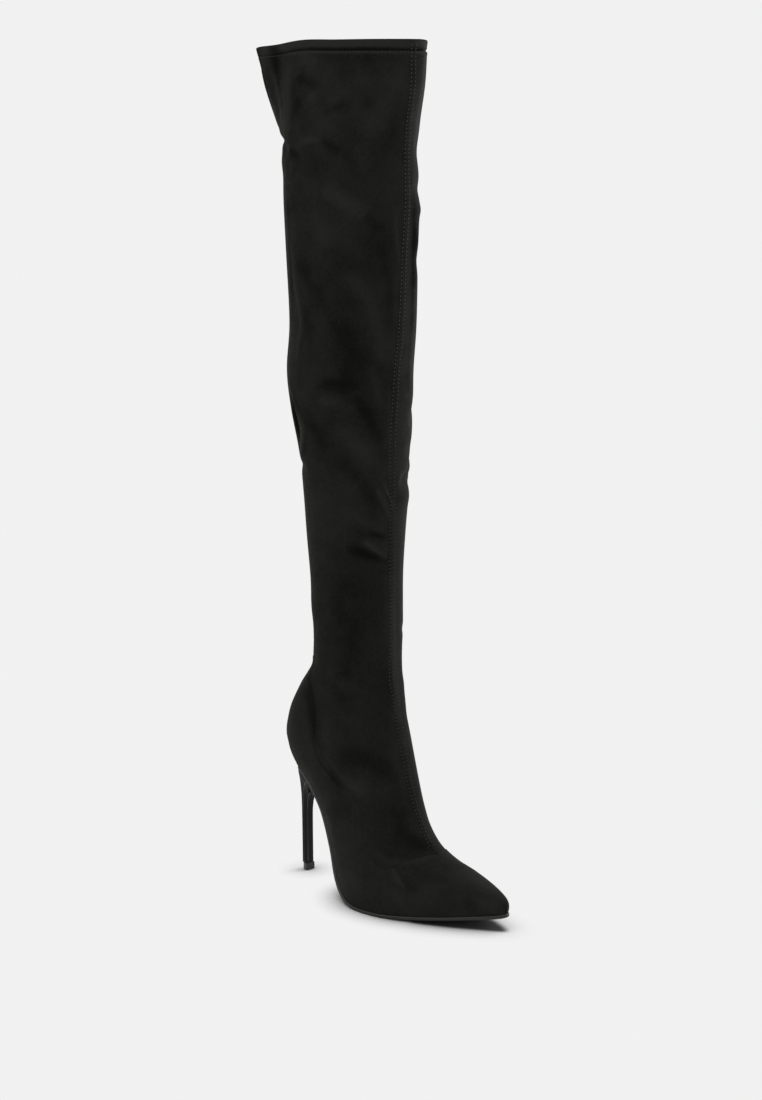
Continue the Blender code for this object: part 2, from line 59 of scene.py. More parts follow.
# Rise of the collar over the straight line from back to front, at v = -1 to 1 in eighths.
COLLAR_RISE = (
    0.6, 1.3, 1.9, 2.3, 4.5, 3.2, 2.2, 1.3, 0.8, 0.3, 0.6, 1.0, 1.1, 1.0, 0.9, 0.7, 0.6,
)
ZIP_TOP = 24.4
ZIP_FOOT = 18.0

FOOT_COLUMNS = (
    "base_x", "base_z", "edge_out", "edge_in", "ridge_x", "ridge_z", "ridge_y",
    "belly_out", "belly_in", "full", "pump",
)
FOOT = (
    (227.0, 15.4, 11.0, 11.0, 228.0, 20.5, 11.0, 11.0, 11.0, 0.95, -0.3),
    (225.0, 15.0, 6.2, 15.2, 226.4, 25.0, 10.8, 5.6, 16.0, 0.92, -0.3),
    (217.5, 13.6, 1.2, 19.2, 220.0, 29.8, 10.0, 0.2, 20.6, 0.9, -0.3),
    (200.0, 10.8, -8.6, 24.8, 204.5, 36.2, 8.5, -10.0, 26.6, 0.9, -0.3),
    (178.0, 7.8, -20.8, 30.4, 182.5, 42.6, 6.8, -22.8, 32.6, 0.92, -0.25),
    (152.0, 5.0, -33.0, 34.6, 159.5, 48.8, 5.0, -35.2, 36.6, 0.95, -0.06),
    (126.0, 3.0, -41.6, 35.8, 142.4, 59.8, 3.4, -43.8, 37.6, 0.95, 0.49),
    (104.0, 2.9, -43.4, 32.6, 132.0, 76.5, 2.2, -45.8, 36.0, 0.92, 0.56),
    (86.0, 6.6, -39.4, 27.0, 126.8, 93.2, 1.4, -43.4, 34.8, 0.9, 0.555),
    (71.0, 17.8, -33.0, 22.0, 123.2, 109.5, 0.8, -39.0, 34.0, 0.88, 0.52),
    (57.0, 40.5, -25.6, 19.0, 119.6, 126.0, 0.4, -36.0, 33.6, 0.86, 0.5),
    (42.0, 66.5, -20.8, 18.4, 116.6, 142.0, 0.1, -34.0, 33.2, 0.85, 0.61),
    (28.0, 84.0, -19.0, 19.4, 114.6, 155.5, 0.0, -32.6, 32.6, 0.84, 0.68),
    (17.0, 91.4, -16.2, 17.8, 113.0, 167.5, 0.0, -32.0, 32.2, 0.84, 0.69),
    (6.4, 96.0, -13.2, 14.8, 111.8, 177.5, 0.0, -31.8, 32.0, 0.84, 0.66),
    (-1.4, 97.9, -9.2, 9.8, 111.0, 185.5, 0.0, -31.8, 32.0, 0.84, 0.61),
    (-4.2, 98.2, 0.0, 0.0, 110.4, 192.5, 0.0, -31.8, 32.0, 0.84, 0.56),
)
LEG_COLUMNS = (
    "base_x", "base_z", "ridge_x", "ridge_z", "belly_out", "belly_in", "full", "pump",
)
LEG = (
    (-11.8, 110.0, 109.4, 198.5, -32.2, 32.4, 0.85, 0.53),
    (-14.5, 126.0, 108.6, 205.5, -32.8, 33.0, 0.86, 0.515),
    (-9.0, 148.0, 107.8, 213.5, -33.8, 34.0, 0.88, 0.535),
    (6.0, 172.0, 106.8, 223.5, -35.0, 35.2, 0.92, 0.61),
    (22.0, 194.0, 106.0, 236.0, -35.8, 36.2, 0.96, 0.69),
    (25.6, 226.0, 105.2, 254.0, -36.8, 37.2, 1.0, 1.15),
    (23.8, 270.0, 105.0, 283.0, -38.2, 38.4, 1.0, 1.5),
    (21.0, 310.0, 106.8, 315.0, -40.6, 40.6, 1.0, 1.5),
    (19.4, 345.0, 109.2, 347.0, -43.0, 43.0, 1.0, 1.5),
    (16.6, 380.0, 110.6, 381.0, -45.8, 45.8, 1.0, 1.5),
    (7.8, 420.0, 112.2, 420.0, -49.6, 49.6, 1.0, 1.5),
    (3.4, 451.0, 113.2, 451.0, -50.4, 50.4, 1.0, 1.5),
    (6.6, 490.0, 117.5, 490.0, -49.6, 49.6, 1.0, 1.5),
    (3.0, 546.0, 120.0, 546.0, -49.8, 49.8, 1.0, 1.5),
    (0.2, 590.0, 122.4, 590.0, -50.0, 50.0, 1.0, 1.5),
    (-1.0, 628.0, 121.6, 628.0, -48.4, 48.4, 1.0, 1.5),
    (-8.5, 650.0, 125.6, 651.0, -47.6, 47.6, 1.0, 1.5),
    (-27.5, 680.0, 135.8, 683.0, -44.0, 44.0, 1.0, 1.5),
    (-42.2, 709.5, 140.8, 716.0, -40.5, 40.5, 1.0, 1.5),
)
LEG_START = len(FOOT) - 1
LAST = LEG_START + len(LEG)

# Lines on the upper, as t and v.
ZIP_LINE = (
    (0.0, 0.45), (16.0, 0.45), (17.0, 0.44), (18.0, 0.42), (19.0, 0.43), (20.0, 0.46),
    (21.0, 0.5), (22.0, 0.515), (24.5, 0.5), (35.0, 0.5),
)
SEAM_LINE = (
    (0.0, 0.0), (5.2, 0.0), (5.9, 0.04), (6.9, 0.07), (8.1, 0.02), (10.2, 0.01), (14.6, -0.017),
    (15.8, -0.035), (18.0, -0.02), (20.0, -0.005), (22.0, 0.014), (23.4, 0.014), (24.4, -0.004),
    (25.5, -0.026), (26.2, -0.028), (27.0, -0.007), (28.0, -0.004), (29.0, 0.007), (30.4, 0.018),
    (31.6, 0.028), (32.2, 0.032), (33.2, 0.02), (33.9, -0.026), (35.0, -0.05),
)
SEAM_SPAN = (-0.9, -0.6, -0.3, 0.0, 0.3, 0.6, 0.9)  # in t, over which its line is evened out
SEAM_ROWS = 2.75  # stitch rows, from the front seam's middle
FACING_AHEAD = 13.0  # stitched facing in front of the zip
FACING_TOP = 24.95  # t of the facing's upper row
FACING_MARGIN = 1.2  # its stitches, from its edge

# Stitches: pitch, length, radius, and how far their middle lies over the suede's face.
STITCH_PITCH = 3.25
STITCH_LENGTH = 2.3
STITCH_RADIUS = 0.50
STITCH_BULGE = 0.05

# Ridges and grooves beside a seam or an edge, each as height, distance from it and width.
PUMP_LINES = ((0.12, 1.6, 1.2), (-0.10, -0.9, 0.9))
SEAM_LINES = ((0.55, 0.0, 3.4), (-0.16, 0.0, 0.5), (-0.12, SEAM_ROWS, 0.6))
BACK_LINES = ((0.30, 0.0, 2.0), (-0.70, 0.0, 0.5))
HEM_LINES = ((-0.8, -0.2, 0.8), (0.45, -2.3, 1.0))
ZIP_LINES = ((0.55, 3.4, 0.9),)
FACING_LINES = ((-0.25, FACING_MARGIN, 0.5),)
HEM_FLATTENED = 0.85  # share of the hem's relief that is lost at the back
PUMP_STEP = 0.45  # shoe part over the stretch shaft
PUMP_SLOPE = 2.4  # width of that step
ZIP_SUNK = 2.1  # depth of the tape's channel
ZIP_CHANNEL = (3.0, 0.9)  # its half width and the slope of its sides
FACING_RISE = 0.25

# Where something starts and how far on it is in full: in t, or in v for the back of the hem.
PUMP_SHOWN = (4.6, 0.5)
PUMP_DENSE = (4.9, 0.4)
SEAM_DENSE = (4.8, 0.6)
HEM_BACK = (0.60, 0.22)
PUMP_TOP = 22.5  # t where the shoe part's edge has ended
TUCK_END, TUCK_FADE = 26.0, 4.0  # t where its step has died out, and over how much

# The heel, from the seat down: share of the way down, share of the way from the seat's outline
# to the stem's, and the stem's radius.
HEEL = (
    (0.0, 0.0, 5.6), (0.03, 0.07, 5.6), (0.07, 0.3, 5.5), (0.13, 0.56, 5.3),
    (0.21, 0.79, 5.1), (0.31, 0.94, 4.9), (0.42, 0.99, 4.8), (0.56, 1.0, 4.75),
    (0.75, 1.0, 4.7), (1.0, 1.0, 4.7),
)
BREAST_AT = 11.8  # t where its front meets the sole
BREAST_ANGLE = 52.0  # degrees from straight ahead to the stem's front corners
STEM_FLAT = 0.62  # its flat front, as a share of the radius
STEM_X = -1.2
SEAT_MARGIN = 0.2  # outline at the top, beyond the feather line
LIFT_HEIGHT = 6.5
LIFT_RADIUS = 4.8

# ---- folds in the stretch suede

# Each fold is a line of (t, v) places, the width of its rounded top or hollow, the height of the
# ridge, or under 0 the depth of the trough, and at times a skew: over 0 for a longer slope on
# the side to the line's left, seen from outside with the line running up.
FOLDS = (
    # back flare: a fold runs down from the collar, and the cloth behind it turns away
    (((34.7, -0.58), (33.6, -0.597), (32.9, -0.625), (32.2, -0.69)), 4.5, 1.6),
    (((34.7, -0.69), (33.6, -0.7), (32.8, -0.73)), 7.5, -2.0),
    (((34.4, -0.86), (33.7, -0.86), (33.1, -0.85), (32.8, -0.84)), 6.0, 1.7),
    # pinch under the flare
    (((32.7, -0.95), (32.45, -0.82), (32.3, -0.72), (32.05, -0.64)), 3.4, -2.8),
    (((31.9, -0.92), (31.75, -0.76), (31.7, -0.64)), 8.0, 1.2),
    (((32.15, -0.61), (31.9, -0.55)), 5.0, -1.0),
    (((31.95, -0.47), (31.6, -0.36)), 9.0, -1.2),
    # lap behind the knee
    (((30.3, -0.62), (29.6, -0.59), (29.1, -0.55), (28.6, -0.555), (28.2, -0.56)), 3.0, 1.1),
    (((27.9, -0.66), (27.3, -0.61), (27.05, -0.592), (26.85, -0.57), (26.65, -0.55),
      (26.4, -0.575), (26.15, -0.61), (25.95, -0.66)), 2.8, 2.4, 0.3),
    (((27.4, -0.69), (27.0, -0.665), (26.6, -0.65), (26.2, -0.69)), 4.0, -3.4),
    (((25.9, -0.85), (25.75, -0.72), (25.7, -0.6)), 4.5, -1.6),
    (((30.0, -0.5), (29.0, -0.47), (28.2, -0.46)), 9.0, -1.4),
    # side of the knee
    (((27.9, -0.36), (27.55, -0.23), (27.2, -0.19), (26.4, -0.11)), 6.5, -2.0),
    (((27.2, -0.4), (27.15, -0.3), (27.2, -0.2)), 7.0, 1.3),
    (((26.6, -0.36), (26.3, -0.25), (25.8, -0.17)), 8.0, 0.9),
    (((25.9, -0.3), (25.6, -0.19), (25.1, -0.11), (24.5, -0.045)), 4.5, -1.7),
    (((25.7, -0.14), (25.2, -0.07), (24.7, -0.02)), 2.8, 2.0),
    (((24.4, -0.3), (24.3, -0.22), (24.15, -0.13)), 4.5, -1.0),
    (((24.15, -0.27), (24.02, -0.2), (23.8, -0.11), (23.6, -0.035)), 2.6, 2.3),
    (((23.85, -0.26), (23.72, -0.19), (23.5, -0.1), (23.35, -0.045)), 3.6, -2.6),
    # front of the knee
    (((25.45, 0.05), (25.4, 0.16), (25.35, 0.32)), 6.0, -3.4),
    (((25.05, 0.02), (24.9, 0.13), (24.95, 0.3)), 6.0, 0.9),
    (((26.2, 0.1), (26.1, 0.2), (26.2, 0.32)), 7.0, -1.0),
    # front edge of the thigh
    (((34.95, -0.02), (34.85, 0.14), (34.95, 0.3)), 3.5, -1.0),
    (((32.4, 0.1), (32.0, 0.2), (32.2, 0.34)), 10.0, -1.0),
    (((31.4, 0.08), (31.2, 0.22), (31.3, 0.36)), 7.0, -1.6),
    (((30.9, 0.1), (30.8, 0.22), (30.9, 0.34)), 5.0, 1.0),
    (((30.0, 0.08), (29.9, 0.22), (30.0, 0.34)), 9.0, -1.2),
    # back edge of the shin, over the counter
    (((22.9, -0.86), (22.5, -0.75), (22.2, -0.62)), 9.0, 1.0),
    (((21.1, -0.88), (21.0, -0.75), (21.05, -0.6)), 4.5, -0.9),
    (((18.6, -0.92), (17.6, -0.86)), 11.0, 1.0),
    # ankle
    (((21.3, -0.42), (21.15, -0.3), (21.2, -0.2)), 5.0, -0.9),
    (((20.9, -0.42), (20.75, -0.32), (20.8, -0.16)), 4.0, 0.8),
    (((20.3, -0.36), (20.2, -0.24)), 6.0, -0.9),
    (((13.6, -0.44), (13.1, -0.3), (12.4, -0.14)), 8.0, -1.5),
    (((12.65, -0.655), (11.4, -0.53), (10.2, -0.44), (9.3, -0.35)), 4.0, 0.9),
    # vamp
    (((5.95, -0.462), (5.6, -0.52), (5.1, -0.6)), 1.8, 1.7, 0.4),
    (((5.9, -0.52), (5.4, -0.62)), 3.0, -0.9),
    # inner side of the foot and ankle
    (((11.6, 0.76), (10.4, 0.71), (9.3, 0.68)), 3.0, -1.2),
    (((16.95, 0.442), (16.2, 0.5), (14.6, 0.6), (12.8, 0.745), (11.2, 0.835)), 1.2, -1.0),
    (((16.95, 0.462), (16.2, 0.52), (14.6, 0.62), (12.8, 0.765), (11.2, 0.855)), 2.4, 0.5),
    (((8.4, 0.81), (7.2, 0.85), (6.1, 0.89)), 2.6, -1.2),
    (((13.4, 0.46), (12.9, 0.3), (12.3, 0.16)), 8.0, -1.2),
    (((21.2, 0.3), (21.0, 0.2), (21.1, 0.1)), 5.0, -0.8),
    # inner side of the knee
    (((28.3, 0.58), (27.6, 0.54), (26.9, 0.56), (26.2, 0.62)), 3.6, 1.6),
    (((28.1, 0.64), (27.4, 0.6), (26.7, 0.62)), 5.0, -1.8),
    (((27.3, 0.4), (27.0, 0.26), (26.6, 0.14)), 7.0, -1.4),
    (((26.0, 0.34), (25.8, 0.22), (25.4, 0.1)), 5.0, -1.2),
    (((32.0, 0.84), (31.7, 0.68), (31.8, 0.52)), 6.0, -1.8),
    (((34.6, 0.62), (33.6, 0.64), (32.6, 0.72)), 4.5, 1.0),
    # back of the knee
    (((28.9, -0.93), (28.7, -1.0)), 5.0, -1.4),
    (((28.8, 1.0), (28.6, 0.9), (28.7, 0.8)), 5.0, -1.4),
    (((27.6, -0.84), (27.5, -1.0)), 5.0, -1.5),
    (((27.5, 1.0), (27.3, 0.88), (27.4, 0.78)), 5.0, -1.5),
    (((21.9, -0.86), (21.75, -1.0)), 4.0, -1.0),
    (((21.75, 1.0), (21.8, 0.86)), 4.0, -1.0),
)
FOLD_STEPS = 48
FOLD_REACH = 2.6  # widths from its line at which a fold has died out


# ---- the upper's surface

def smooth(values, t):
    """Cubic curve through the values at t = 0, 1, 2 and so on, its slopes taken from the
    neighbours."""
    values = np.asarray(values, float)
    t = np.clip(t, 0, len(values) - 1)
    i = np.minimum(t.astype(int), len(values) - 2)
    u = t - i
    slope = np.gradient(values)
    start = values[i] * (2 * u**3 - 3 * u**2 + 1) + slope[i] * (u**3 - 2 * u**2 + u)
    end = values[i + 1] * (3 * u**2 - 2 * u**3) + slope[i + 1] * (u**3 - u**2)
    return start + end


def column_of(name):
    """One named column over the foot's rows and the leg's rows."""
    foot = [row[FOOT_COLUMNS.index(name)] for row in FOOT]
    if name in LEG_COLUMNS:
        return foot + [row[LEG_COLUMNS.index(name)] for row in LEG]
    return foot + [0.0] * len(LEG)


def upper_at(name, t):
    return smooth(column_of(name), t)


def foot_at(name, t):
    """A foot column at t, with no part of the leg in its curve."""
    return smooth([row[FOOT_COLUMNS.index(name)] for row in FOOT], t)


def feather(t):
    """Centre of the feather line: x, and z kept over the level where the sole lies flat."""
    return foot_at("base_x", t), np.maximum(foot_at("base_z", t), FLOOR_LEVEL)


def section(t, v):
    """Point of the smooth upper, in mm: an ellipse arc in the plane of base and ridge.

    The arc starts where its width equals the feather line's, at turn = arcsin of the widths'
    ratio, and ends at the ridge. Height is (cos first - cos turn) / (1 + cos first).
    """
    t, v = np.broadcast_arrays(t, v)
    in_foot = t <= LEG_START
    foot_x, foot_z = feather(t)
    base_x = np.where(in_foot, foot_x, upper_at("base_x", t))
    base_z = np.where(in_foot, foot_z, upper_at("base_z", t))
    ridge_x, ridge_y, ridge_z = (upper_at(f"ridge_{axis}", t) for axis in "xyz")
    full = upper_at("full", t)
    outer = v < 0
    edge = np.where(outer, foot_at("edge_out", t), foot_at("edge_in", t)) - ridge_y
    belly = np.where(outer, upper_at("belly_out", t), upper_at("belly_in", t)) - ridge_y
    edge = np.where(in_foot, edge, 0.0)
    belly = np.where(np.abs(belly) < 1e-6, 1e-6, belly)
    first = np.arcsin(np.clip(edge / belly, 0, 1) ** (1 / full))
    turn = first + (math.pi - first) * (1 - np.abs(v))
    rise = (np.cos(first) - np.cos(turn)) / (1 + np.cos(first))
    return np.stack([
        base_x + (ridge_x - base_x) * rise,
        ridge_y + belly * np.clip(np.sin(turn), 0, 1) ** full,
        base_z + (ridge_z - base_z) * rise,
    ], axis=-1)


def unit(vectors):
    return vectors / np.maximum(np.linalg.norm(vectors, axis=-1, keepdims=True), 1e-9)


def square_to(along, vectors):
    """Unit vectors with what lies along another direction taken out."""
    return unit(vectors - along * (vectors * along).sum(axis=-1, keepdims=True))


def run_of(points):
    """Length along a line of points, at each of them."""
    return np.concatenate([[0], np.cumsum(np.linalg.norm(np.diff(points, axis=0), axis=-1))])


def outward(t, v):
    """Unit normal of the smooth upper: the cross product of its two directions."""
    step = 1e-3
    along = section(np.clip(t + step, 0, LAST), v) - section(np.clip(t - step, 0, LAST), v)
    inside = np.clip(v, -0.995, 0.995)
    across = section(t, inside + step) - section(t, inside - step)
    return unit(np.cross(across, along))


def half_girth(t):
    """Length of the section from ridge to edge, the mean of both sides, in mm."""
    v = np.linspace(-1, 1, 81)
    ring = section(np.atleast_1d(t)[:, None], v[None, :])
    return np.linalg.norm(np.diff(ring, axis=1), axis=-1).sum(axis=1) / 2


RUN_T = np.linspace(0, LAST, 1401)
RUN_GIRTH = half_girth(RUN_T)
RUN_MM = run_of(section(RUN_T, np.full_like(RUN_T, -0.4)))


def girth_at(t):
    return np.interp(t, RUN_T, RUN_GIRTH)


def run_at(t):
    return np.interp(t, RUN_T, RUN_MM)


def row_at(run):
    """t where the length along the boot, in mm, has this value."""
    return np.interp(run, RUN_MM, RUN_T)


def laid_flat(t, v):
    """The cloth laid flat, in mm: length along the boot, and distance from the ridge."""
    return run_at(t), v * girth_at(t)


def line_at(table, t):
    """v of a line on the upper at t."""
    t_rows, v_rows = zip(*table)
    return np.interp(t, t_rows, v_rows)


def seam_at(t):
    """v of the front seam at t: the mean of its line over a stretch of the boot."""
    return sum(line_at(SEAM_LINE, t + step) for step in SEAM_SPAN) / len(SEAM_SPAN)


def ramp(x):
    """0 below 0, 1 above 1, smooth between."""
    x = np.clip(x, 0, 1)
    return x * x * (3 - 2 * x)


def after(x, start, fade):
    """0 up to the start, 1 from a fade on, smooth between."""
    return ramp((x - start) / fade)


def step(x, width):
    """0 to 1 across a width with 0 in its middle."""
    return ramp(x / width + 0.5)


def within(t, low, high, fade):
    """1 between low and high, 0 outside, smooth over the fade on both sides."""
    return step(t - low, fade) * step(high - t, fade)


def bell(distance, width):
    """1 on the line, falling off on both sides as a Gauss curve."""
    return np.exp(-((distance / width) ** 2))


def lines(distance, table):
    """Sum of a table's bells, each with its height, its distance and its width."""
    return sum(height * bell(distance - place, width) for height, place, width in table)


def fold(along, across, line, width, height, skew=0.0):
    """Ridge or trough along a line: height times a bell of the distance from it, fading to
    nothing at both ends as a half sine to the power 0.6."""
    steps = np.linspace(0, len(line) - 1, FOLD_STEPS)
    line_t, line_v = (smooth(column, steps) for column in zip(*line))
    path = np.stack(laid_flat(line_t, line_v), axis=-1)
    reach = FOLD_REACH * width * (1 + abs(skew))
    low, high = path.min(axis=0) - reach, path.max(axis=0) + reach
    near = (along > low[0]) & (along < high[0]) & (across > low[1]) & (across < high[1])
    places = np.stack([along[near], across[near]], axis=-1)
    apart = places[:, None] - path[None]
    distance = np.linalg.norm(apart, axis=-1)
    closest = distance.argmin(axis=1)
    rows = np.arange(len(places))
    heading = unit(np.gradient(path, axis=0))[closest]
    offset = apart[rows, closest]
    side = np.sign(heading[:, 0] * offset[:, 1] - heading[:, 1] * offset[:, 0])
    share = closest / (FOLD_STEPS - 1)
    fade = np.sin(math.pi * share) ** 0.6
    found = np.zeros_like(along)
    found[near] = height * fade * bell(distance[rows, closest], width * (1 + skew * side))
    return found


def folds(t, v, table):
    """Sum of a table's folds at places on the upper."""
    along, across = laid_flat(t, v)
    return sum(fold(along, across, *entry) for entry in table)


def pump_distance(t, v):
    """Distance in mm from the shoe part's edge, over 0 on the shoe part."""
    return (np.abs(v) - upper_at("pump", t)) * girth_at(t)


def zip_distance(t, v):
    return (v - line_at(ZIP_LINE, t)) * girth_at(t)


def seam_distance(t, v):
    return (v - seam_at(t)) * girth_at(t)


def back_distance(t, v):
    return (1 - np.abs(v)) * girth_at(t)


def hem_distance(t):
    """Height in mm over the lower edge of the collar's band."""
    return run_at(t) - RUN_MM[-1] + HEM_DEPTH


def relief(t, v):
    """Height of the suede's face over the smooth upper, in mm."""
    height = folds(t, v, FOLDS)
    # shoe part laid over the shaft, its edge turned under
    pump = pump_distance(t, v)
    height -= PUMP_STEP * (1 - step(pump, PUMP_SLOPE)) * ramp((TUCK_END - t) / TUCK_FADE)
    height += ramp(PUMP_TOP - t) * after(t, *PUMP_SHOWN) * lines(pump, PUMP_LINES)
    # front seam on the shaft: two raised sides, a closed groove, a stitched channel on each side
    seam = np.abs(seam_distance(t, v))
    height += (1 - step(pump, 1.0)) * lines(seam, SEAM_LINES)
    height += ramp(t - LEG_START) * lines(back_distance(t, v), BACK_LINES)
    # hem: a rounded, folded band, with a narrow groove under it
    band = hem_distance(t)
    rounded = HEM_PUFF * (1 - (band / HEM_DEPTH * 2 - 1) ** 2)
    hem = np.where(band > 0, rounded, 0.0) + lines(band, HEM_LINES)
    height += hem * (1 - HEM_FLATTENED * after(np.abs(v), *HEM_BACK))
    # zip: two folded edges over a sunk tape
    side = np.abs(zip_distance(t, v))
    half, slope = ZIP_CHANNEL
    zipped = within(t, ZIP_FOOT + 0.10, ZIP_TOP, 0.06)
    height += zipped * (lines(side, ZIP_LINES) - ZIP_SUNK * ramp((half - side) / slope))
    # facing's edge shows through the cloth in front of the zip
    facing = FACING_AHEAD - np.abs(zip_distance(t, v) + FACING_AHEAD)
    sewn = within(t, ZIP_FOOT + 0.4, FACING_TOP, 0.1)
    height += sewn * (FACING_RISE * ramp(facing) + lines(facing, FACING_LINES))
    return height


def collar_rise(t, v):
    """Height in mm by which the collar stands up, from its table round the leg, starting from
    nothing some rows below the collar."""
    rows = 2.2
    return smooth(COLLAR_RISE, (v + 1) * 8) * after(t, LAST - rows, rows)


def suede_point(t, v):
    """Smooth upper, moved out by the relief, and up at the collar."""
    point = section(t, v) + outward(t, v) * relief(t, v)[..., None]
    point[..., 2] += collar_rise(t, v)
    return point


SEAM_T = np.linspace(4.6, LAST, 1201)
SEAM_RUN = run_of(suede_point(SEAM_T, seam_at(SEAM_T)))


# ---- where the grid is dense

def spread(density, count):
    """Positions 0 to 1 that share out the density's area evenly, one row for each row of it."""
    area = np.concatenate([
        np.zeros(density.shape[:-1] + (1,)),
        np.cumsum((density[..., 1:] + density[..., :-1]) / 2, axis=-1),
    ], axis=-1)
    area /= area[..., -1:]
    shares = np.linspace(0, 1, count)
    samples = np.linspace(0, 1, density.shape[-1])
    return np.stack([np.interp(shares, row, samples) for row in area])


def row_places(count):
    """t of the rows: even along the boot, closer at the hem, the vamp's edge, the toe and both
    ends of the zip."""
    t = np.linspace(0, LAST, 3001)
    density = np.gradient(run_at(t), t) * (1 + 3.5 * bell(hem_distance(t) - 3.0, 5.5))
    density += 26 * bell(t - 5.45, 0.55) + 12 * bell(t, 0.8)
    density += 40 * bell(t - ZIP_TOP, 0.08) + 30 * bell(t - ZIP_FOOT, 0.1)
    return spread(density[None], count)[0] * LAST


def column_places(t, count):
    """v of the columns in each row: closer at both seams, the zip and the shoe part's edge."""
    v = np.linspace(-1, 1, 2401)[None]
    t = t[:, None]
    on_pump = ramp(PUMP_TOP - t) * after(t, *PUMP_DENSE)
    at_zip = within(t, ZIP_FOOT - 0.4, ZIP_TOP + 0.5, 1.0)
    density = (
        1
        + 4.5 * after(t, *SEAM_DENSE) * bell(seam_distance(t, v), 4.0)
        + 3.0 * on_pump * bell(pump_distance(t, v), 2.4)
        + 5.5 * at_zip * bell(zip_distance(t, v), 5.0)
        + 2.0 * bell(back_distance(t, v), 4.0)
    )
    return spread(density, count) * 2 - 1


# ---- meshes

def grid_faces(rows, columns, ring=False):
    """Corners of the quads between neighbouring rows and columns, as one array."""
    i = np.arange(rows - 1)[:, None]
    j = np.arange(columns if ring else columns - 1)[None, :]
    after = (j + 1) % columns
    return np.stack([
        i * columns + j, i * columns + after, (i + 1) * columns + after, (i + 1) * columns + j,
    ], axis=-1).reshape(-1, 4)


def placed(name, data):
    """New object in the scene."""
    obj = bpy.data.objects.new(name, data)
    bpy.context.scene.collection.objects.link(obj)
    return obj


def attribute(mesh, name, values):
    """One number for each point, which a material can read."""
    made = mesh.attributes.new(name, "FLOAT", "POINT")
    made.data.foreach_set("value", np.asarray(values, np.float32).ravel())


def mesh_object(name, points, faces, finish, attributes=None):
    """Mesh from whole arrays, in mm, with its material and smooth faces."""
    points = np.asarray(points, float).reshape(-1, 3)
    mesh = bpy.data.meshes.new(name)
    mesh.vertices.add(len(points))
    mesh.vertices.foreach_set("co", (points * MM).astype(np.float32).ravel())
    sides = faces.shape[1]
    mesh.loops.add(faces.size)
    mesh.loops.foreach_set("vertex_index", faces.astype(np.int32).ravel())
    mesh.polygons.add(len(faces))
    mesh.polygons.foreach_set("loop_start", np.arange(0, faces.size, sides, dtype=np.int32))
    mesh.update(calc_edges=True)
    for key, values in (attributes or {}).items():
        attribute(mesh, key, values)
    mesh.validate()
    mesh.materials.append(finish)
    mesh.shade_smooth()
    return placed(name, mesh)


def grid_object(name, points, finish, attributes=None, flipped=False):
    """Mesh of one grid of points, its faces turned over if need be."""
    faces = grid_faces(*points.shape[:2])
    return mesh_object(name, points, faces[:, ::-1] if flipped else faces, finish, attributes)


def weld(obj, distance=1e-6, recalculate=False):
    """Touching points made one, and what collapsed taken out."""
    work = bmesh.new()
    work.from_mesh(obj.data)
    bmesh.ops.remove_doubles(work, verts=work.verts, dist=distance)
    bmesh.ops.dissolve_degenerate(work, edges=work.edges, dist=1e-7)
    loose = [vert for vert in work.verts if not vert.link_faces]
    bmesh.ops.delete(work, geom=loose, context="VERTS")
    if recalculate:
        bmesh.ops.recalc_face_normals(work, faces=work.faces)
    work.to_mesh(obj.data)
    work.free()
    return obj


def on_boot(obj, slot, *nodes):
    """The piece rides on the boot and stands for these solids; its slot is not used."""
    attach(obj, "boot")
    if nodes:
        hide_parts(*nodes)
    return obj


# ---- shader sockets

class Signal:
    """A shader socket that does sums: each operator adds a Math node to its tree."""

    def __init__(self, nodes, socket):
        self.nodes = nodes
        self.socket = socket

    def maths(self, operation, *others):
        return self.nodes.maths(operation, self, *others)

    def __add__(self, other):
        return self.maths("ADD", other)

    def __sub__(self, other):
        return self.maths("SUBTRACT", other)

    def __rsub__(self, other):
        return self.nodes.maths("SUBTRACT", other, self)

    def __mul__(self, other):
        return self.maths("MULTIPLY", other)

    def size(self):
        return self.maths("ABSOLUTE")

    def sine(self):
        return self.maths("SINE")

    def turns(self, pitch):
        """A length as an angle, a full turn for each pitch."""
        return self * (2 * math.pi / pitch)

    def between(self, low, high):
        """0 at low, 1 at high, smooth between them."""
        return self.nodes.node(
            "ShaderNodeMapRange", {"interpolation_type": "SMOOTHSTEP"},
            {"Value": self, "From Min": low, "From Max": high},
        )


class Nodes:
    """A node tree in the making."""

    def __init__(self, owner, output):
        owner.use_nodes = True
        self.tree = owner.node_tree
        self.surface = self.tree.nodes[output].inputs["Surface"]

    def feed(self, socket, value):
        if isinstance(value, Signal):
            self.tree.links.new(value.socket, socket)
        elif isinstance(value, tuple) and socket.type == "RGBA":
            socket.default_value = (*value, 1.0)
        else:
            socket.default_value = value

    def node(self, kind, settings=None, inputs=None, output=0):
        """Any node: its settings first, then its sockets' values or links."""
        made = self.tree.nodes.new(kind)
        for key, value in (settings or {}).items():
            setattr(made, key, value)
        for key, value in (inputs or {}).items():
            self.feed(made.inputs[key], value)
        return Signal(self, made.outputs[output])

    def maths(self, operation, *values):
        return self.node("ShaderNodeMath", {"operation": operation}, dict(enumerate(values)))

    def mixed(self, share, first, second):
        """Two shaders mixed, as what is shown: all the first at 0, all the second at 1."""
        mix = self.node("ShaderNodeMixShader", None, {0: share, 1: first, 2: second})
        self.feed(self.surface, mix)


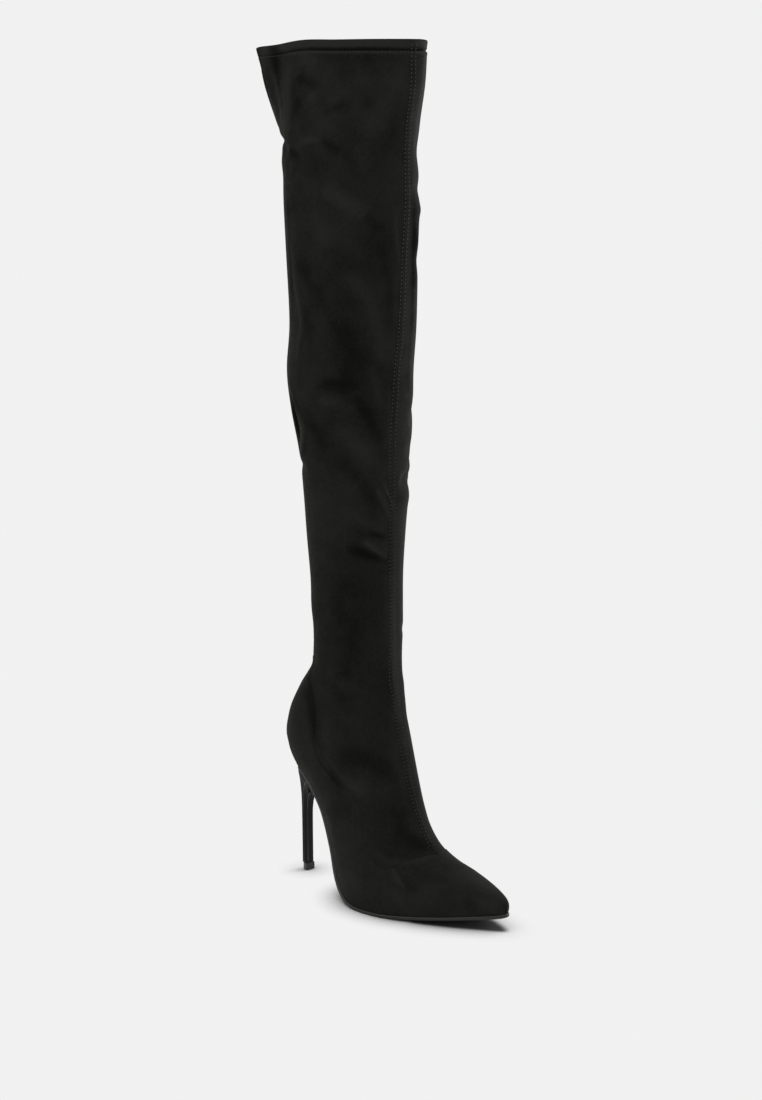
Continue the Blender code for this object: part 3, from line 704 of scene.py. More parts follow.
class Finish(Nodes):
    """A material in the making, round one Principled BSDF."""

    def __init__(self, name, **constants):
        self.material = bpy.data.materials.new(name)
        super().__init__(self.material, "Material Output")
        self.sockets = self.tree.nodes["Principled BSDF"].inputs
        self.shader = Signal(self, self.tree.nodes["Principled BSDF"].outputs[0])
        self.place = self.node("ShaderNodeTexCoord", output="Object")
        for key, value in constants.items():
            name_shown = key.replace("_", " ").title().replace("Ior", "IOR")
            self.feed(self.sockets[name_shown], value)

    def noise(self, scale, detail=2.0, stretch=None):
        """Noise of that many grains a metre, 0 to 1 about 0.5."""
        place = self.place
        if stretch:
            place = self.node("ShaderNodeMapping", None, {"Vector": place, "Scale": stretch})
        return self.node(
            "ShaderNodeTexNoise", None, {"Vector": place, "Scale": scale, "Detail": detail}
        )

    def part(self, name):
        """The piece's own attribute."""
        return self.node("ShaderNodeAttribute", {"attribute_name": name}, output="Fac")

    def axis(self, name):
        return self.node("ShaderNodeSeparateXYZ", None, {"Vector": self.place}, output=name)

    def blend(self, share, low, high):
        """Colour between low and high."""
        return self.node(
            "ShaderNodeMix", {"data_type": "RGBA"}, {0: share, 6: low, 7: high}, output=2
        )

    def colour(self, *blend):
        """Base colour, from a share and the colours at 0 and 1."""
        self.feed(self.sockets["Base Color"], self.blend(*blend))
        return self

    def roughness(self, signal):
        self.feed(self.sockets["Roughness"], signal)
        return self

    def bump(self, height, distance, strength=0.7):
        """Bump of that many mm."""
        normal = self.node("ShaderNodeBump", None, {
            "Height": height, "Distance": distance * MM, "Strength": strength,
        })
        self.feed(self.sockets["Normal"], normal)
        return self


def grey(level):
    return (level,) * 3


def brushed_suede():
    """Matt black suede in random patches, with painted light and shade from the folds, rims and
    flare, where the darkest parts are a dull sheet without sheen, and puckered at the front
    stitches: the cloth is drawn in at both ends of each stitch, with painted shade in these dents."""
    darkest = (0.0054, 0.0058, 0.0045)
    cloth = Finish(
        "black_suede", roughness=0.94, sheen_weight=0.055, sheen_roughness=0.30,
        sheen_tint=(0.93, 0.96, 0.88), specular_ior_level=0.10,
    )
    aside = (cloth.part("seam").size() - SEAM_ROWS).size()
    row = 1 - aside.between(0.3, 1.6)
    drawn = cloth.part("seam_run").turns(STITCH_PITCH).maths("COSINE").between(0.0, 1.0) * row
    patches = cloth.noise(17, 3) * 0.9 + cloth.noise(62, 2) * 0.45 + cloth.noise(430, 2) * 0.45
    # The suede's random tone, plus the painted light and shade of the strokes, minus painted shade
    # in the stitch dents.
    tone_and_shading = (patches - 0.90) * 0.9 + 0.42 + cloth.part("nap_and_shading") - drawn * 0.42
    cloth.colour(tone_and_shading.between(0.0, 1.0), darkest, (0.0172, 0.0182, 0.0148))
    cloth.roughness(0.98 - tone_and_shading.between(0, 1) * 0.10)
    grain = cloth.noise(2400, 2) + cloth.noise(700, 2) * 0.5
    cloth.bump(grain * 0.7 - drawn * 0.5, 0.35, 0.8)
    # Painted shade: where the tone is darkest, a flat dark sheet without sheen is shown instead of
    # the suede.
    flat = cloth.node("ShaderNodeBsdfDiffuse", None, {"Color": darkest})
    cloth.mixed(tone_and_shading.between(-0.3, 0.35), flat, cloth.shader)
    return cloth.material


def black_thread():
    """Twisted black thread, painted pale as highlights, more on the upper leg than on the lower."""
    thread = Finish("black_thread", roughness=0.75, specular_ior_level=0.15)
    lay = thread.noise(2600, 2)
    highlit_upper_leg = thread.blend(lay, (0.020, 0.0204, 0.0184), (0.054, 0.055, 0.050))
    dimmer_lower_leg = thread.blend(lay, (0.014, 0.0144, 0.0130), (0.038, 0.039, 0.035))
    thread.colour(thread.axis("Z").between(0.36, 0.50), dimmer_lower_leg, highlit_upper_leg)
    return thread.bump(lay, 0.12, 0.6).material


def knit_lining():
    """Fine black tricot: ribs along the leg, crossed by rows of loops."""
    knit = Finish("knit_lining", roughness=0.8, sheen_weight=0.25, sheen_roughness=0.4)
    round_leg = knit.axis("Y").maths("ARCTAN2", knit.axis("X") - 0.05) * 190
    loops = (knit.axis("Z").turns(0.9 * MM).sine() + round_leg.sine()) * 0.25 + 0.5
    tone_share = loops * 0.6 + knit.noise(40, 3) * 0.4
    knit.colour(tone_share, (0.012, 0.012, 0.0115), (0.040, 0.039, 0.037))
    return knit.bump(loops, 0.18).material


def woven_tape():
    tape = Finish("zip_tape", roughness=0.85, sheen_weight=0.2)
    ribs = tape.axis("Z").turns(0.7 * MM).sine() * 0.5 + 0.5
    tape.colour(ribs, grey(0.006), grey(0.018))
    return tape.bump(ribs + tape.noise(2500, 1) * 0.5, 0.15).material


def coil_nylon():
    nylon = Finish("zip_coil", roughness=0.42, specular_ior_level=0.45)
    rub = nylon.noise(500, 3)
    nylon.colour(rub, grey(0.007), (0.022, 0.022, 0.021))
    return nylon.roughness(rub * 0.3 + 0.28).material


def pale_nickel(name):
    """Satin nickel, finely brushed and a little dulled in patches."""
    metal = Finish(name, metallic=1.0, roughness=0.3)
    grain = metal.noise(900, 2, (1.0, 1.0, 0.06))
    dull = metal.noise(160, 3)
    metal.colour(dull * 0.7 + grain * 0.3, (0.36, 0.345, 0.312), (0.54, 0.52, 0.475))
    metal.roughness(grain * 0.12 + dull * 0.14 + 0.34)
    return metal.bump(grain, 0.02, 0.5).material


def sole_rubber():
    """Black sole with a painted highlight along its upper edge and a fine tread below."""
    rubber = Finish("sole_rubber", roughness=0.6, specular_ior_level=0.4)
    under = rubber.part("under")
    wear = rubber.noise(140, 3)
    dark = rubber.blend(wear, (0.008, 0.008, 0.0075), (0.018, 0.018, 0.017))
    pale = rubber.blend(wear, (0.055, 0.057, 0.053), (0.100, 0.102, 0.095))
    # Painted highlight: the pale colour where the edge attribute is high, at the edge's top.
    rubber.colour(rubber.part("edge"), dark, pale)
    rubber.roughness(wear * 0.2 + 0.42 + under * 0.15)
    slant = (rubber.axis("X") + rubber.axis("Y")).turns(2.6 * MM).sine()
    other = (rubber.axis("X") - rubber.axis("Y")).turns(2.6 * MM).sine()
    tread = (slant * other).between(-0.35, 0.35)
    grip = rubber.axis("Z").between(9 * MM, 7 * MM)
    return rubber.bump(tread * under * grip + rubber.noise(1800, 2) * 0.15, 0.35, 0.8).material


def heel_gloss():
    """Black lacquer, its mirror weak face on and stronger at the rims, with hardly visible
    handling marks and a painted highlight line down its front corners."""
    gloss = Finish("heel_gloss", roughness=0.45, specular_ior_level=0.0)
    marks = gloss.noise(95, 4, (1.0, 1.0, 0.35))
    plain = gloss.blend(marks, (0.0015, 0.0015, 0.0016), grey(0.0040))
    corner_highlight = gloss.part("corner") * gloss.noise(140, 2, (1.0, 1.0, 0.2)).between(0.2, 0.6)
    gloss.colour(corner_highlight, plain, (0.085, 0.087, 0.082))
    mirror = gloss.node("ShaderNodeBsdfGlossy", None, {"Color": grey(1.0), "Roughness": 0.10})
    rim = gloss.node("ShaderNodeLayerWeight", None, {"Blend": 0.5}, output="Facing")
    gloss.mixed(rim.maths("POWER", 3.0) * 0.05 + 0.013, gloss.shader, mirror)
    return gloss.material


def lift_rubber():
    """Black rubber with random scuffs, and painted light that makes the back of its outer side
    pale.
    """
    rubber = Finish("lift_rubber", roughness=0.6, specular_ior_level=0.4)
    grain = rubber.noise(900, 3)
    scuffs = rubber.noise(260, 3, (1.0, 1.0, 3.0))
    dark = rubber.blend(scuffs, grey(0.006), (0.014, 0.014, 0.013))
    pale = rubber.blend(grain * 0.4 + scuffs * 0.6, (0.050, 0.050, 0.048), (0.110, 0.110, 0.105))
    # Painted light: paler toward the back of the outer side.
    tone_share = (rubber.axis("X") + rubber.axis("Y")).between(-0.5 * MM, -6.5 * MM)
    rubber.colour(tone_share, dark, pale)
    rubber.roughness(scuffs * 0.25 + 0.45)
    return rubber.bump(grain, 0.10).material


def board_insole():
    sock = Finish("insole_sock", roughness=0.75)
    grain = sock.noise(700, 3)
    sock.colour(grain, (0.040, 0.036, 0.032), (0.075, 0.068, 0.060))
    return sock.bump(grain, 0.15, 0.6).material


# ---- upper

# Painted light and shade on the suede, with some of its own uneven tone. Each stroke is a line
# of (t, v) places, its half width in mm, and how much paler (over 0) or darker the suede is there.
NAP_AND_SHADING = (
    # collar and flare
    (((35.2, -0.655), (34.15, -0.65), (33.4, -0.66)), 7.0, -0.25),
    (((35.8, -0.86), (34.4, -0.83), (33.3, -0.8)), 21.0, -0.52),
    (((35.2, -0.6), (34.6, -0.64), (34.2, -0.68)), 10.0, -0.42),
    (((34.2, -0.52), (33.6, -0.545), (33.1, -0.55)), 7.0, -0.2),
    (((35.1, -0.12), (34.3, -0.1), (33.3, -0.16), (32.6, -0.2)), 14.0, 0.32),
    (((30.9, 0.1), (30.0, 0.14), (28.9, 0.13)), 9.0, -0.4),
    (((34.42, -0.572), (33.62, -0.588), (32.9, -0.612), (32.3, -0.66)), 3.0, 0.55),
    (((34.62, -0.527), (34.52, -0.485), (34.4, -0.445)), 5.0, 0.26),
    (((34.17, -0.537), (34.02, -0.488), (33.87, -0.435)), 3.5, -0.26),
    (((33.7, -0.54), (33.35, -0.532)), 4.0, -0.22),
    (((33.77, -0.48), (33.62, -0.443)), 3.5, 0.14),
    (((33.3, -0.415), (33.45, -0.355), (33.58, -0.297)), 4.0, -0.24),
    (((33.54, -0.252), (33.45, -0.195)), 4.0, -0.18),
    (((34.2, -0.3), (33.95, -0.22)), 5.0, 0.1),
    (((34.05, -0.2), (33.95, -0.16)), 3.0, 0.14),
    (((32.95, -0.535), (32.78, -0.47)), 4.0, -0.18),
    (((32.35, -0.555), (32.45, -0.483), (32.52, -0.42)), 2.4, 0.3),
    (((32.02, -0.64), (31.97, -0.58), (31.85, -0.535)), 4.0, -0.25),
    (((32.5, -0.42), (32.27, -0.37), (32.05, -0.325)), 4.0, -0.32),
    (((32.12, -0.343), (31.82, -0.277), (31.45, -0.24)), 6.0, -0.16),
    # thigh
    (((31.5, -0.66), (29.9, -0.65), (28.6, -0.66)), 4.0, -0.26),
    (((31.7, 0.07), (30.2, 0.095), (28.6, 0.105), (27.4, 0.105)), 5.0, -0.34),
    (((31.3, -0.42), (31.02, -0.305), (30.78, -0.2)), 6.5, 0.4),
    (((30.8, -0.215), (30.6, -0.165), (30.48, -0.1)), 4.5, -0.22),
    (((30.6, -0.425), (30.1, -0.4)), 5.5, 0.18),
    (((31.3, -0.6), (30.6, -0.58)), 5.0, -0.12),
    (((30.0, -0.58), (29.62, -0.483), (29.15, -0.405)), 7.5, -0.16),
    (((29.25, -0.38), (28.87, -0.29), (28.2, -0.25), (27.7, -0.26)), 9.5, -0.2),
    (((29.85, -0.32), (29.42, -0.188), (28.8, -0.12), (28.2, -0.1)), 6.5, 0.34),
    (((30.95, -0.06), (30.3, -0.04), (29.7, 0.0)), 2.2, 0.22),
    (((30.3, -0.13), (29.6, -0.08), (28.9, -0.05)), 3.5, -0.16),
    (((30.1, -0.6), (29.6, -0.585), (29.12, -0.552), (28.7, -0.55)), 2.4, 0.34),
    (((29.3, -0.52), (28.6, -0.49), (28.0, -0.49)), 3.4, -0.16),
    # knee
    (((27.72, -0.44), (27.82, -0.333), (27.75, -0.215)), 5.0, -0.35),
    (((28.3, -0.15), (27.7, -0.12), (27.1, -0.1)), 4.5, 0.26),
    (((27.32, -0.43), (27.3, -0.335), (27.15, -0.24)), 4.4, 0.22),
    (((27.5, -0.225), (26.87, -0.155), (26.32, -0.09)), 5.5, -0.32),
    (((26.95, -0.52), (26.5, -0.45), (26.2, -0.4)), 6.0, -0.2),
    (((26.8, -0.35), (26.22, -0.193), (25.6, -0.07)), 6.5, 0.26),
    (((26.15, -0.37), (25.72, -0.255), (25.27, -0.188), (24.55, -0.085)), 6.0, -0.22),
    (((25.35, -0.13), (24.97, -0.073), (24.5, -0.018)), 2.0, 0.75),
    (((24.8, -0.32), (24.5, -0.2), (24.12, -0.07)), 4.6, 0.16),
    (((24.18, -0.18), (24.1, -0.105), (24.0, -0.04)), 2.8, -0.48),
    (((24.02, -0.21), (23.77, -0.132), (23.48, -0.03)), 1.8, 0.95),
    (((23.85, -0.32), (23.67, -0.213), (23.42, -0.06)), 4.2, -0.44),
    (((27.6, -0.045), (26.42, -0.04), (25.1, -0.04)), 1.8, 0.34),
    (((34.9, 0.07), (34.1, 0.085), (33.2, 0.105), (32.3, 0.14)), 4.5, 0.8),
    (((27.2, -0.675), (26.9, -0.66), (26.6, -0.65), (26.3, -0.665)), 3.6, -1.5),
    (((27.1, -0.598), (26.85, -0.57), (26.65, -0.55), (26.4, -0.575), (26.15, -0.61)), 1.6, 0.9),
    # shin and ankle
    (((25.4, -0.63), (24.9, -0.62), (24.2, -0.63)), 3.6, -0.24),
    (((25.6, -0.76), (24.4, -0.75), (22.6, -0.76), (21.4, -0.76)), 4.0, -0.3),
    (((23.27, -0.29), (21.15, -0.307), (17.6, -0.3)), 15.0, -0.17),
    (((23.3, 0.012), (20.35, 0.01), (14.95, 0.01), (12.0, 0.0)), 6.5, 0.62),
    (((19.45, -0.4), (18.9, -0.27)), 3.5, -0.14),
    (((18.55, -0.39), (18.02, -0.28)), 2.4, 0.14),
    (((17.7, -0.39), (16.3, -0.27)), 3.8, -0.14),
    (((13.0, -0.59), (11.5, -0.415), (10.17, -0.218), (8.8, -0.07)), 8.0, -0.3),
    (((12.8, -0.64), (11.32, -0.58), (10.42, -0.492), (9.65, -0.395)), 3.0, 0.18),
    # counter
    (((20.4, -0.64), (18.47, -0.54), (16.77, -0.54), (13.07, -0.645)), 5.5, -0.42),
    (((12.7, -0.655), (11.6, -0.64), (10.7, -0.58)), 4.0, -0.14),
    # foot
    (((3.1, -0.52), (2.3, -0.56), (1.5, -0.58)), 6.0, 0.4),
    (((7.1, -0.23), (6.22, -0.113), (5.5, -0.05)), 7.0, -0.3),
    (((9.2, -0.718), (8.02, -0.762), (6.6, -0.838)), 9.0, 0.12),
    (((5.95, -0.705), (4.95, -0.718), (3.9, -0.677)), 5.5, 0.16),
    (((4.72, -0.4), (4.05, -0.59)), 5.0, 0.16),
    (((5.35, -0.603), (4.7, -0.57)), 4.0, -0.16),
    (((5.95, -0.462), (5.6, -0.52), (5.1, -0.6)), 1.4, 1.2),
    (((7.3, -0.5), (6.3, -0.44), (5.4, -0.25), (5.15, -0.08)), 2.4, 0.3),
    (((4.5, -0.21), (3.42, -0.272)), 4.5, 0.12),
    (((4.15, -0.065), (3.3, -0.03), (2.3, -0.1), (1.3, -0.2)), 7.0, 0.42),
    (((2.2, -0.35), (1.2, -0.45), (0.4, -0.5)), 6.0, 0.35),
    (((4.3, -0.4), (3.8, -0.43)), 3.5, 0.18),
    (((3.2, -0.56), (2.6, -0.62)), 4.0, -0.2),
    (((4.7, -0.06), (4.3, -0.18)), 3.0, -0.18),
)
# What the collar's band and the vamp's edge add as painted light and shade: bells, as for the
# relief, and where they act.
BAND_LINES = ((0.55, -2.2, 0.9), (-0.25, -0.2, 0.9))
BAND_FROM = -0.4  # its foot
BAND_PALER = (0.6, 5.0)  # heights over which its painted highlight grows
BAND_HIGHLIGHT, BAND_SHADE = 1.5, -0.1  # how much painted highlight it gains, and the painted shade it starts from
BAND_BACK = (0.5, 0.15)  # in v, where this ends
# Painted highlight line along the vamp's edge, and how much paler the shoe part is than the shaft.
VAMP_LINES = ((0.1, 0.9, 1.3),)
VAMP_PALER = 0.1
VAMP_SHOWN = (4.2, 0.8)
VAMP_END, VAMP_FADE = 7.8, 1.5

ROWS = 428
COLUMNS = 220
ROLL_RADIUS = 1.15
ROLL_STEPS = 9
HEM_TUCK = 0.9  # by which the hem's inner end and the lining's edge bend to the cloth
TUCKED_IN = (0.0, 1.6, 3.2)  # lasting margin under the foot
TUCKED_LOW = 0.05  # by which it lies under the feather line
SEAM_FROM = 5.3  # t where the front seam starts
STITCHED_FROM = 5.65
NO_SEAM = 99.0  # distance that stands for no seam at all
LINING_OVER = 3.0  # height of the lining's edge over the hem's inner end
LINING_TOE = 0.35  # t of its row nearest the toe
LINING_COLUMNS = 111


def nap_and_shading_at(t, v):
    """How much paler or darker the suede is, as painted light and shade: the sum of the strokes,
    each as a fold is made. The collar's band has a painted highlight growing upward, painted shade
    in its groove and a painted highlight under it; the vamp's edge has a painted highlight line,
    and the shoe part is a little paler than the shaft that it covers, along the vamp's edge."""
    nap_and_shading = folds(t, v, NAP_AND_SHADING)
    band = hem_distance(t)
    paler = np.where(band > BAND_FROM, BAND_HIGHLIGHT * after(band, *BAND_PALER) + BAND_SHADE, 0.0)
    nap_and_shading += (1 - after(np.abs(v), *BAND_BACK)) * (paler + lines(band, BAND_LINES))
    pump = pump_distance(t, v)
    edge = lines(pump, VAMP_LINES) + VAMP_PALER * (step(pump, 1.2) - 0.5)
    return nap_and_shading + ramp((VAMP_END - t) / VAMP_FADE) * after(t, *VAMP_SHOWN) * edge


def close_back(t, points):
    """Both ends of each leg row brought to their middle, on the back line."""
    leg = t >= LEG_START
    middle = (points[leg, 0] + points[leg, -1]) / 2
    points[leg, 0] = middle
    points[leg, -1] = middle
    return points


def collar_roll(points, out, up):
    """Hem turned over the collar: half a circle from the outside in, then straight down."""
    turn = np.linspace(0, math.pi, ROLL_STEPS)[1:, None, None]
    centre = points - ROLL_RADIUS * out
    roll = centre + ROLL_RADIUS * (np.cos(turn) * out + np.sin(turn) * up)
    drop = np.linspace(0, TURNED_IN, 6)[1:, None, None]
    inner = roll[-1] - drop * up
    end = inner[-1:] + HEM_TUCK * out - 0.2 * up
    return np.concatenate([roll, inner, end])


def suede_piece(finish):
    """The suede's face with its folds, turned in at the collar and lasted under the foot."""
    top = LAST - ROLL_RADIUS / (RUN_MM[-1] - run_at(LAST - 1))
    t = row_places(ROWS) * top / LAST
    v = column_places(t, COLUMNS)
    rows = np.broadcast_to(t[:, None], v.shape)
    points = close_back(t, suede_point(rows, v))
    out = outward(rows[-1], v[-1])
    up = unit(section(rows[-1], v[-1]) - section(rows[-1] - 0.01, v[-1]))
    out[0] = out[-1] = unit(out[0] + out[-1])
    points = np.concatenate([points, collar_roll(points[-1], square_to(up, out), up)])
    faces = [grid_faces(*points.shape[:2])]
    vertices = [points.reshape(-1, 3)]
    foot = t[t <= LEG_START]
    for name, edge in (("edge_out", 0), ("edge_in", -1)):
        strip = np.stack([
            edge_line(foot, name, -inset) - TUCKED_LOW * bool(inset) * plate_normal(foot)
            for inset in TUCKED_IN
        ], axis=1)
        strip[:, 0] = points[:len(foot), edge]
        strip_faces = grid_faces(len(foot), len(TUCKED_IN)) + sum(map(len, vertices))
        faces.append(strip_faces if edge else strip_faces[:, ::-1])
        vertices.append(strip.reshape(-1, 3))
    vertices = np.concatenate(vertices)
    shades = {
        "nap_and_shading": (nap_and_shading_at(rows, v), 0.0),
        "seam": (seam_distance(rows, v) + NO_SEAM * (rows < SEAM_FROM), NO_SEAM),
        "seam_run": (np.interp(rows, SEAM_T, SEAM_RUN), 0.0),
    }
    rest = len(vertices) - ROWS * COLUMNS
    attributes = {
        key: np.concatenate([values.ravel(), np.full(rest, beyond)])
        for key, (values, beyond) in shades.items()
    }
    obj = mesh_object("upper_suede", vertices, np.concatenate(faces), finish, attributes)
    return on_boot(weld(obj), "suede", "upper")


def lining_piece(finish):
    """The inner face: the suede's own surface, moved in by the wall's thickness, its upper
    edge tucked behind the turned-in hem."""
    top = row_at(RUN_MM[-1] - TURNED_IN + LINING_OVER)
    foot, leg = np.linspace(LINING_TOE, LEG_START, 90), np.linspace(LEG_START, top, 150)
    t = np.concatenate([foot, leg[1:]])
    v = np.broadcast_to(np.linspace(-1, 1, LINING_COLUMNS), (len(t), LINING_COLUMNS))
    rows = np.broadcast_to(t[:, None], v.shape)
    depth = np.minimum(relief(rows, v), 0.0) - WALL + HEM_TUCK * ramp((rows - top) / 0.09 + 1)
    points = section(rows, v) + outward(rows, v) * depth[..., None]
    points[..., 2] += collar_rise(rows, v)
    points = close_back(t, points)
    return on_boot(weld(grid_object("upper_lining", points, finish, flipped=True)), "lining")


# ---- stitches

PILL_SIDES = 6


def stitch_places(t, v, run, at):
    """Places on a line on the suede where its run has these values, with the line's direction
    and the suede's normal there."""
    t_at, v_at = np.interp(at, run, t), np.interp(at, run, v)
    line = suede_point(t, v)
    ahead, behind = (
        np.stack([np.interp(at + way, run, axis) for axis in line.T], axis=-1) for way in (1, -1)
    )
    along = unit(ahead - behind)
    out = square_to(along, outward(t_at, v_at))
    return suede_point(t_at, v_at) + STITCH_BULGE * out, along, out


def stitch_line(t, v, pitch=STITCH_PITCH):
    """Evenly spaced places along a line on the suede."""
    run = run_of(suede_point(t, v))
    return stitch_places(t, v, run, np.arange(pitch / 2, run[-1], pitch))


def pills(centres, along, out, length, radius, flat=0.85):
    """Rounded bars: at angle a from the middle to a tip, and b round, a point lies at
    centre + along * length/2 * sin(a) + radius * cos(a)^0.6 * (cos(b) * side + sin(b) * out)."""
    side = np.cross(along, out)
    a = np.linspace(-math.pi / 2, math.pi / 2, PILL_SIDES)[:, None]
    b = np.linspace(0, 2 * math.pi, PILL_SIDES + 1)[:-1][None, :]
    girth = radius * np.clip(np.cos(a), 0, 1) ** 0.6
    parts = (
        (np.broadcast_to(np.sin(a) * length / 2, (PILL_SIDES, PILL_SIDES)), along),
        (girth * np.cos(b), side),
        (girth * np.sin(b) * flat, out),
    )
    points = centres[:, None, None] + sum(
        share[None, ..., None] * way[:, None, None] for share, way in parts
    )
    one = grid_faces(PILL_SIDES, PILL_SIDES, ring=True)
    faces = (np.arange(len(centres))[:, None, None] * PILL_SIDES**2 + one[None]).reshape(-1, 4)
    return points.reshape(-1, 3), faces[:, ::-1]


def stitches(name, lines, finish, length=STITCH_LENGTH, radius=STITCH_RADIUS):
    """One piece of many stitches, from a list of lines, each the places of its stitches."""
    centres, along, out = (np.concatenate(parts) for parts in zip(*lines))
    points, faces = pills(centres, along, out, length, radius)
    return on_boot(weld(mesh_object(name, points, faces, finish), 1e-7, True), "suede")


def beside(line, t, distance):
    """v at a distance in mm beside a line on the upper."""
    return line_at(line, t) + distance / girth_at(t)


def front_stitches(finish):
    """Two rows of stitches beside the front seam, side by side, one to each pucker."""
    at = np.arange(STITCH_PITCH / 2, SEAM_RUN[-1], STITCH_PITCH)
    t_at = np.interp(at, SEAM_RUN, SEAM_T)
    shown = at[(t_at > STITCHED_FROM) & (t_at < LAST - 0.04)]
    rows = [
        stitch_places(SEAM_T, seam_at(SEAM_T) + offset / girth_at(SEAM_T), SEAM_RUN, shown)
        for offset in (-SEAM_ROWS, SEAM_ROWS)
    ]
    return stitches("front_stitches", rows, finish)


def hem_stitches(finish):
    v = np.linspace(-1, 1, 1500)
    t = np.full_like(v, row_at(RUN_MM[-1] - HEM_DEPTH - 1.3))
    return stitches("hem_stitches", [stitch_line(t, v, 3.0)], finish, 2.0, 0.30)


def facing_stitches(finish):
    """The facing's long row in front of the zip, its short one across the top, and one row on
    each side of the zip."""
    ahead = FACING_MARGIN - 2 * FACING_AHEAD
    t = np.linspace(ZIP_FOOT + 0.5, FACING_TOP, 900)
    long_row = stitch_line(t, beside(ZIP_LINE, t, ahead))
    low = beside(ZIP_LINE, FACING_TOP, ahead)
    v = np.linspace(low, line_at(ZIP_LINE, FACING_TOP) + 0.02, 300)
    top_row = stitch_line(np.full_like(v, FACING_TOP), v)
    t = np.linspace(ZIP_FOOT + 0.3, ZIP_TOP, 900)
    sides = [stitch_line(t, beside(ZIP_LINE, t, aside), 2.8) for aside in (-5.0, 5.0)]
    return stitches("facing_stitches", [long_row, top_row, *sides], finish)


# ---- zip

COIL_PITCH = 1.35
COIL_DEPTH = 0.62  # coil's middle under the smooth upper
COIL_ASIDE = 0.62  # middle of each row of bars, from the zip's middle
COIL_BAR = (2.7, 0.52, 1.15)  # length, radius, and height over width
TAPE_DEPTH = 1.30
TAPE_HALF = 2.75
TAPE_THICKNESS = 0.35


def zip_tape(finish):
    """Woven strip on the floor of the zip's channel, from the foot to the top."""
    t = np.linspace(ZIP_FOOT + 0.12, ZIP_TOP - 0.02, 150)[:, None]
    v = line_at(ZIP_LINE, t) + TAPE_HALF / girth_at(t) * np.linspace(-1, 1, 9)
    rows = np.broadcast_to(t, v.shape)
    points = section(rows, v) - TAPE_DEPTH * outward(rows, v)
    obj = grid_object("zip_tape", points, finish)
    wall = obj.modifiers.new("wall", "SOLIDIFY")
    wall.thickness = TAPE_THICKNESS * MM
    wall.offset = -1
    return on_boot(obj, "zip_teeth")


def zip_teeth(finish):
    """Closed coil: two rows of short bars across the tape, set half a pitch apart, that meet
    and overlap in the middle."""
    t = np.linspace(ZIP_FOOT + 0.12, ZIP_TOP - 0.03, 900)
    run = run_of(section(t, line_at(ZIP_LINE, t)))
    bars = []
    for side in (-1, 1):
        t_at = np.interp(np.arange(COIL_PITCH * (0.5 + 0.25 * side), run[-1], COIL_PITCH), run, t)
        v_at, next_v = (
            beside(ZIP_LINE, t_at, side * COIL_ASIDE + ahead) for ahead in (0.0, 0.5)
        )
        across = unit(section(t_at, next_v) - section(t_at, v_at))
        out = square_to(across, outward(t_at, v_at))
        bars.append(pills(section(t_at, v_at) - COIL_DEPTH * out, across, out, *COIL_BAR))
    points = np.concatenate([bar[0] for bar in bars])
    faces = np.concatenate([bars[0][1], bars[1][1] + len(bars[0][0])])
    obj = weld(mesh_object("zip_teeth", points, faces, finish), 1e-7, True)
    return on_boot(obj, "zip_teeth", "zip_chain")


# ---- sole, heel, lift

SOLE_ROWS = 260
# The sole's edge from its top to its bottom: margin beyond the feather line and height over it.
SOLE_EDGE = (
    (-0.6, -0.3), (0.3, -0.3), (0.62, -0.42), (0.74, -0.75), (0.74, -1.1), (0.66, -1.35),
    (0.72, -1.65), (0.72, -2.4), (0.52, -2.85), (0.1, -3.1), (-1.2, -3.1),
)
EDGE_HIGHLIGHT = (0.8, 1.0, 0.7, 0.10) + (0.0,) * 7  # how pale its painted highlight is, in the same order
TREAD_FROM = -2.9  # height under which it has a tread


def edge_line(t, name, margin):
    """One edge of the feather line moved out by a margin, in mm, within the sole's own plane."""
    x, z = feather(t)
    y = foot_at(name, t)
    run = np.hypot(np.gradient(x, t), np.gradient(z, t))
    along = np.stack([np.gradient(x, t), np.zeros_like(x), np.gradient(z, t)], axis=-1)
    along /= np.maximum(run, 1e-9)[:, None]
    slope = np.gradient(y, t)
    side = -1.0 if name == "edge_out" else 1.0
    length = np.hypot(run, slope)
    out_along = -side * slope / length
    out_across = side * run / length
    first, last = t <= 0, t >= LEG_START
    out_along = np.where(first, -1.0, np.where(last, 1.0, out_along))
    out_across = np.where(first | last, 0.0, out_across)
    moved = np.stack([x, y, z], axis=-1) + margin * out_along[:, None] * along
    moved[:, 1] += margin * out_across
    return moved


def plate_normal(t):
    """Direction square to the feather line's plane, pointing up."""
    x, z = feather(t)
    normal = np.stack([np.gradient(z, t), np.zeros_like(x), -np.gradient(x, t)], axis=-1)
    return normal / np.linalg.norm(normal, axis=-1, keepdims=True)


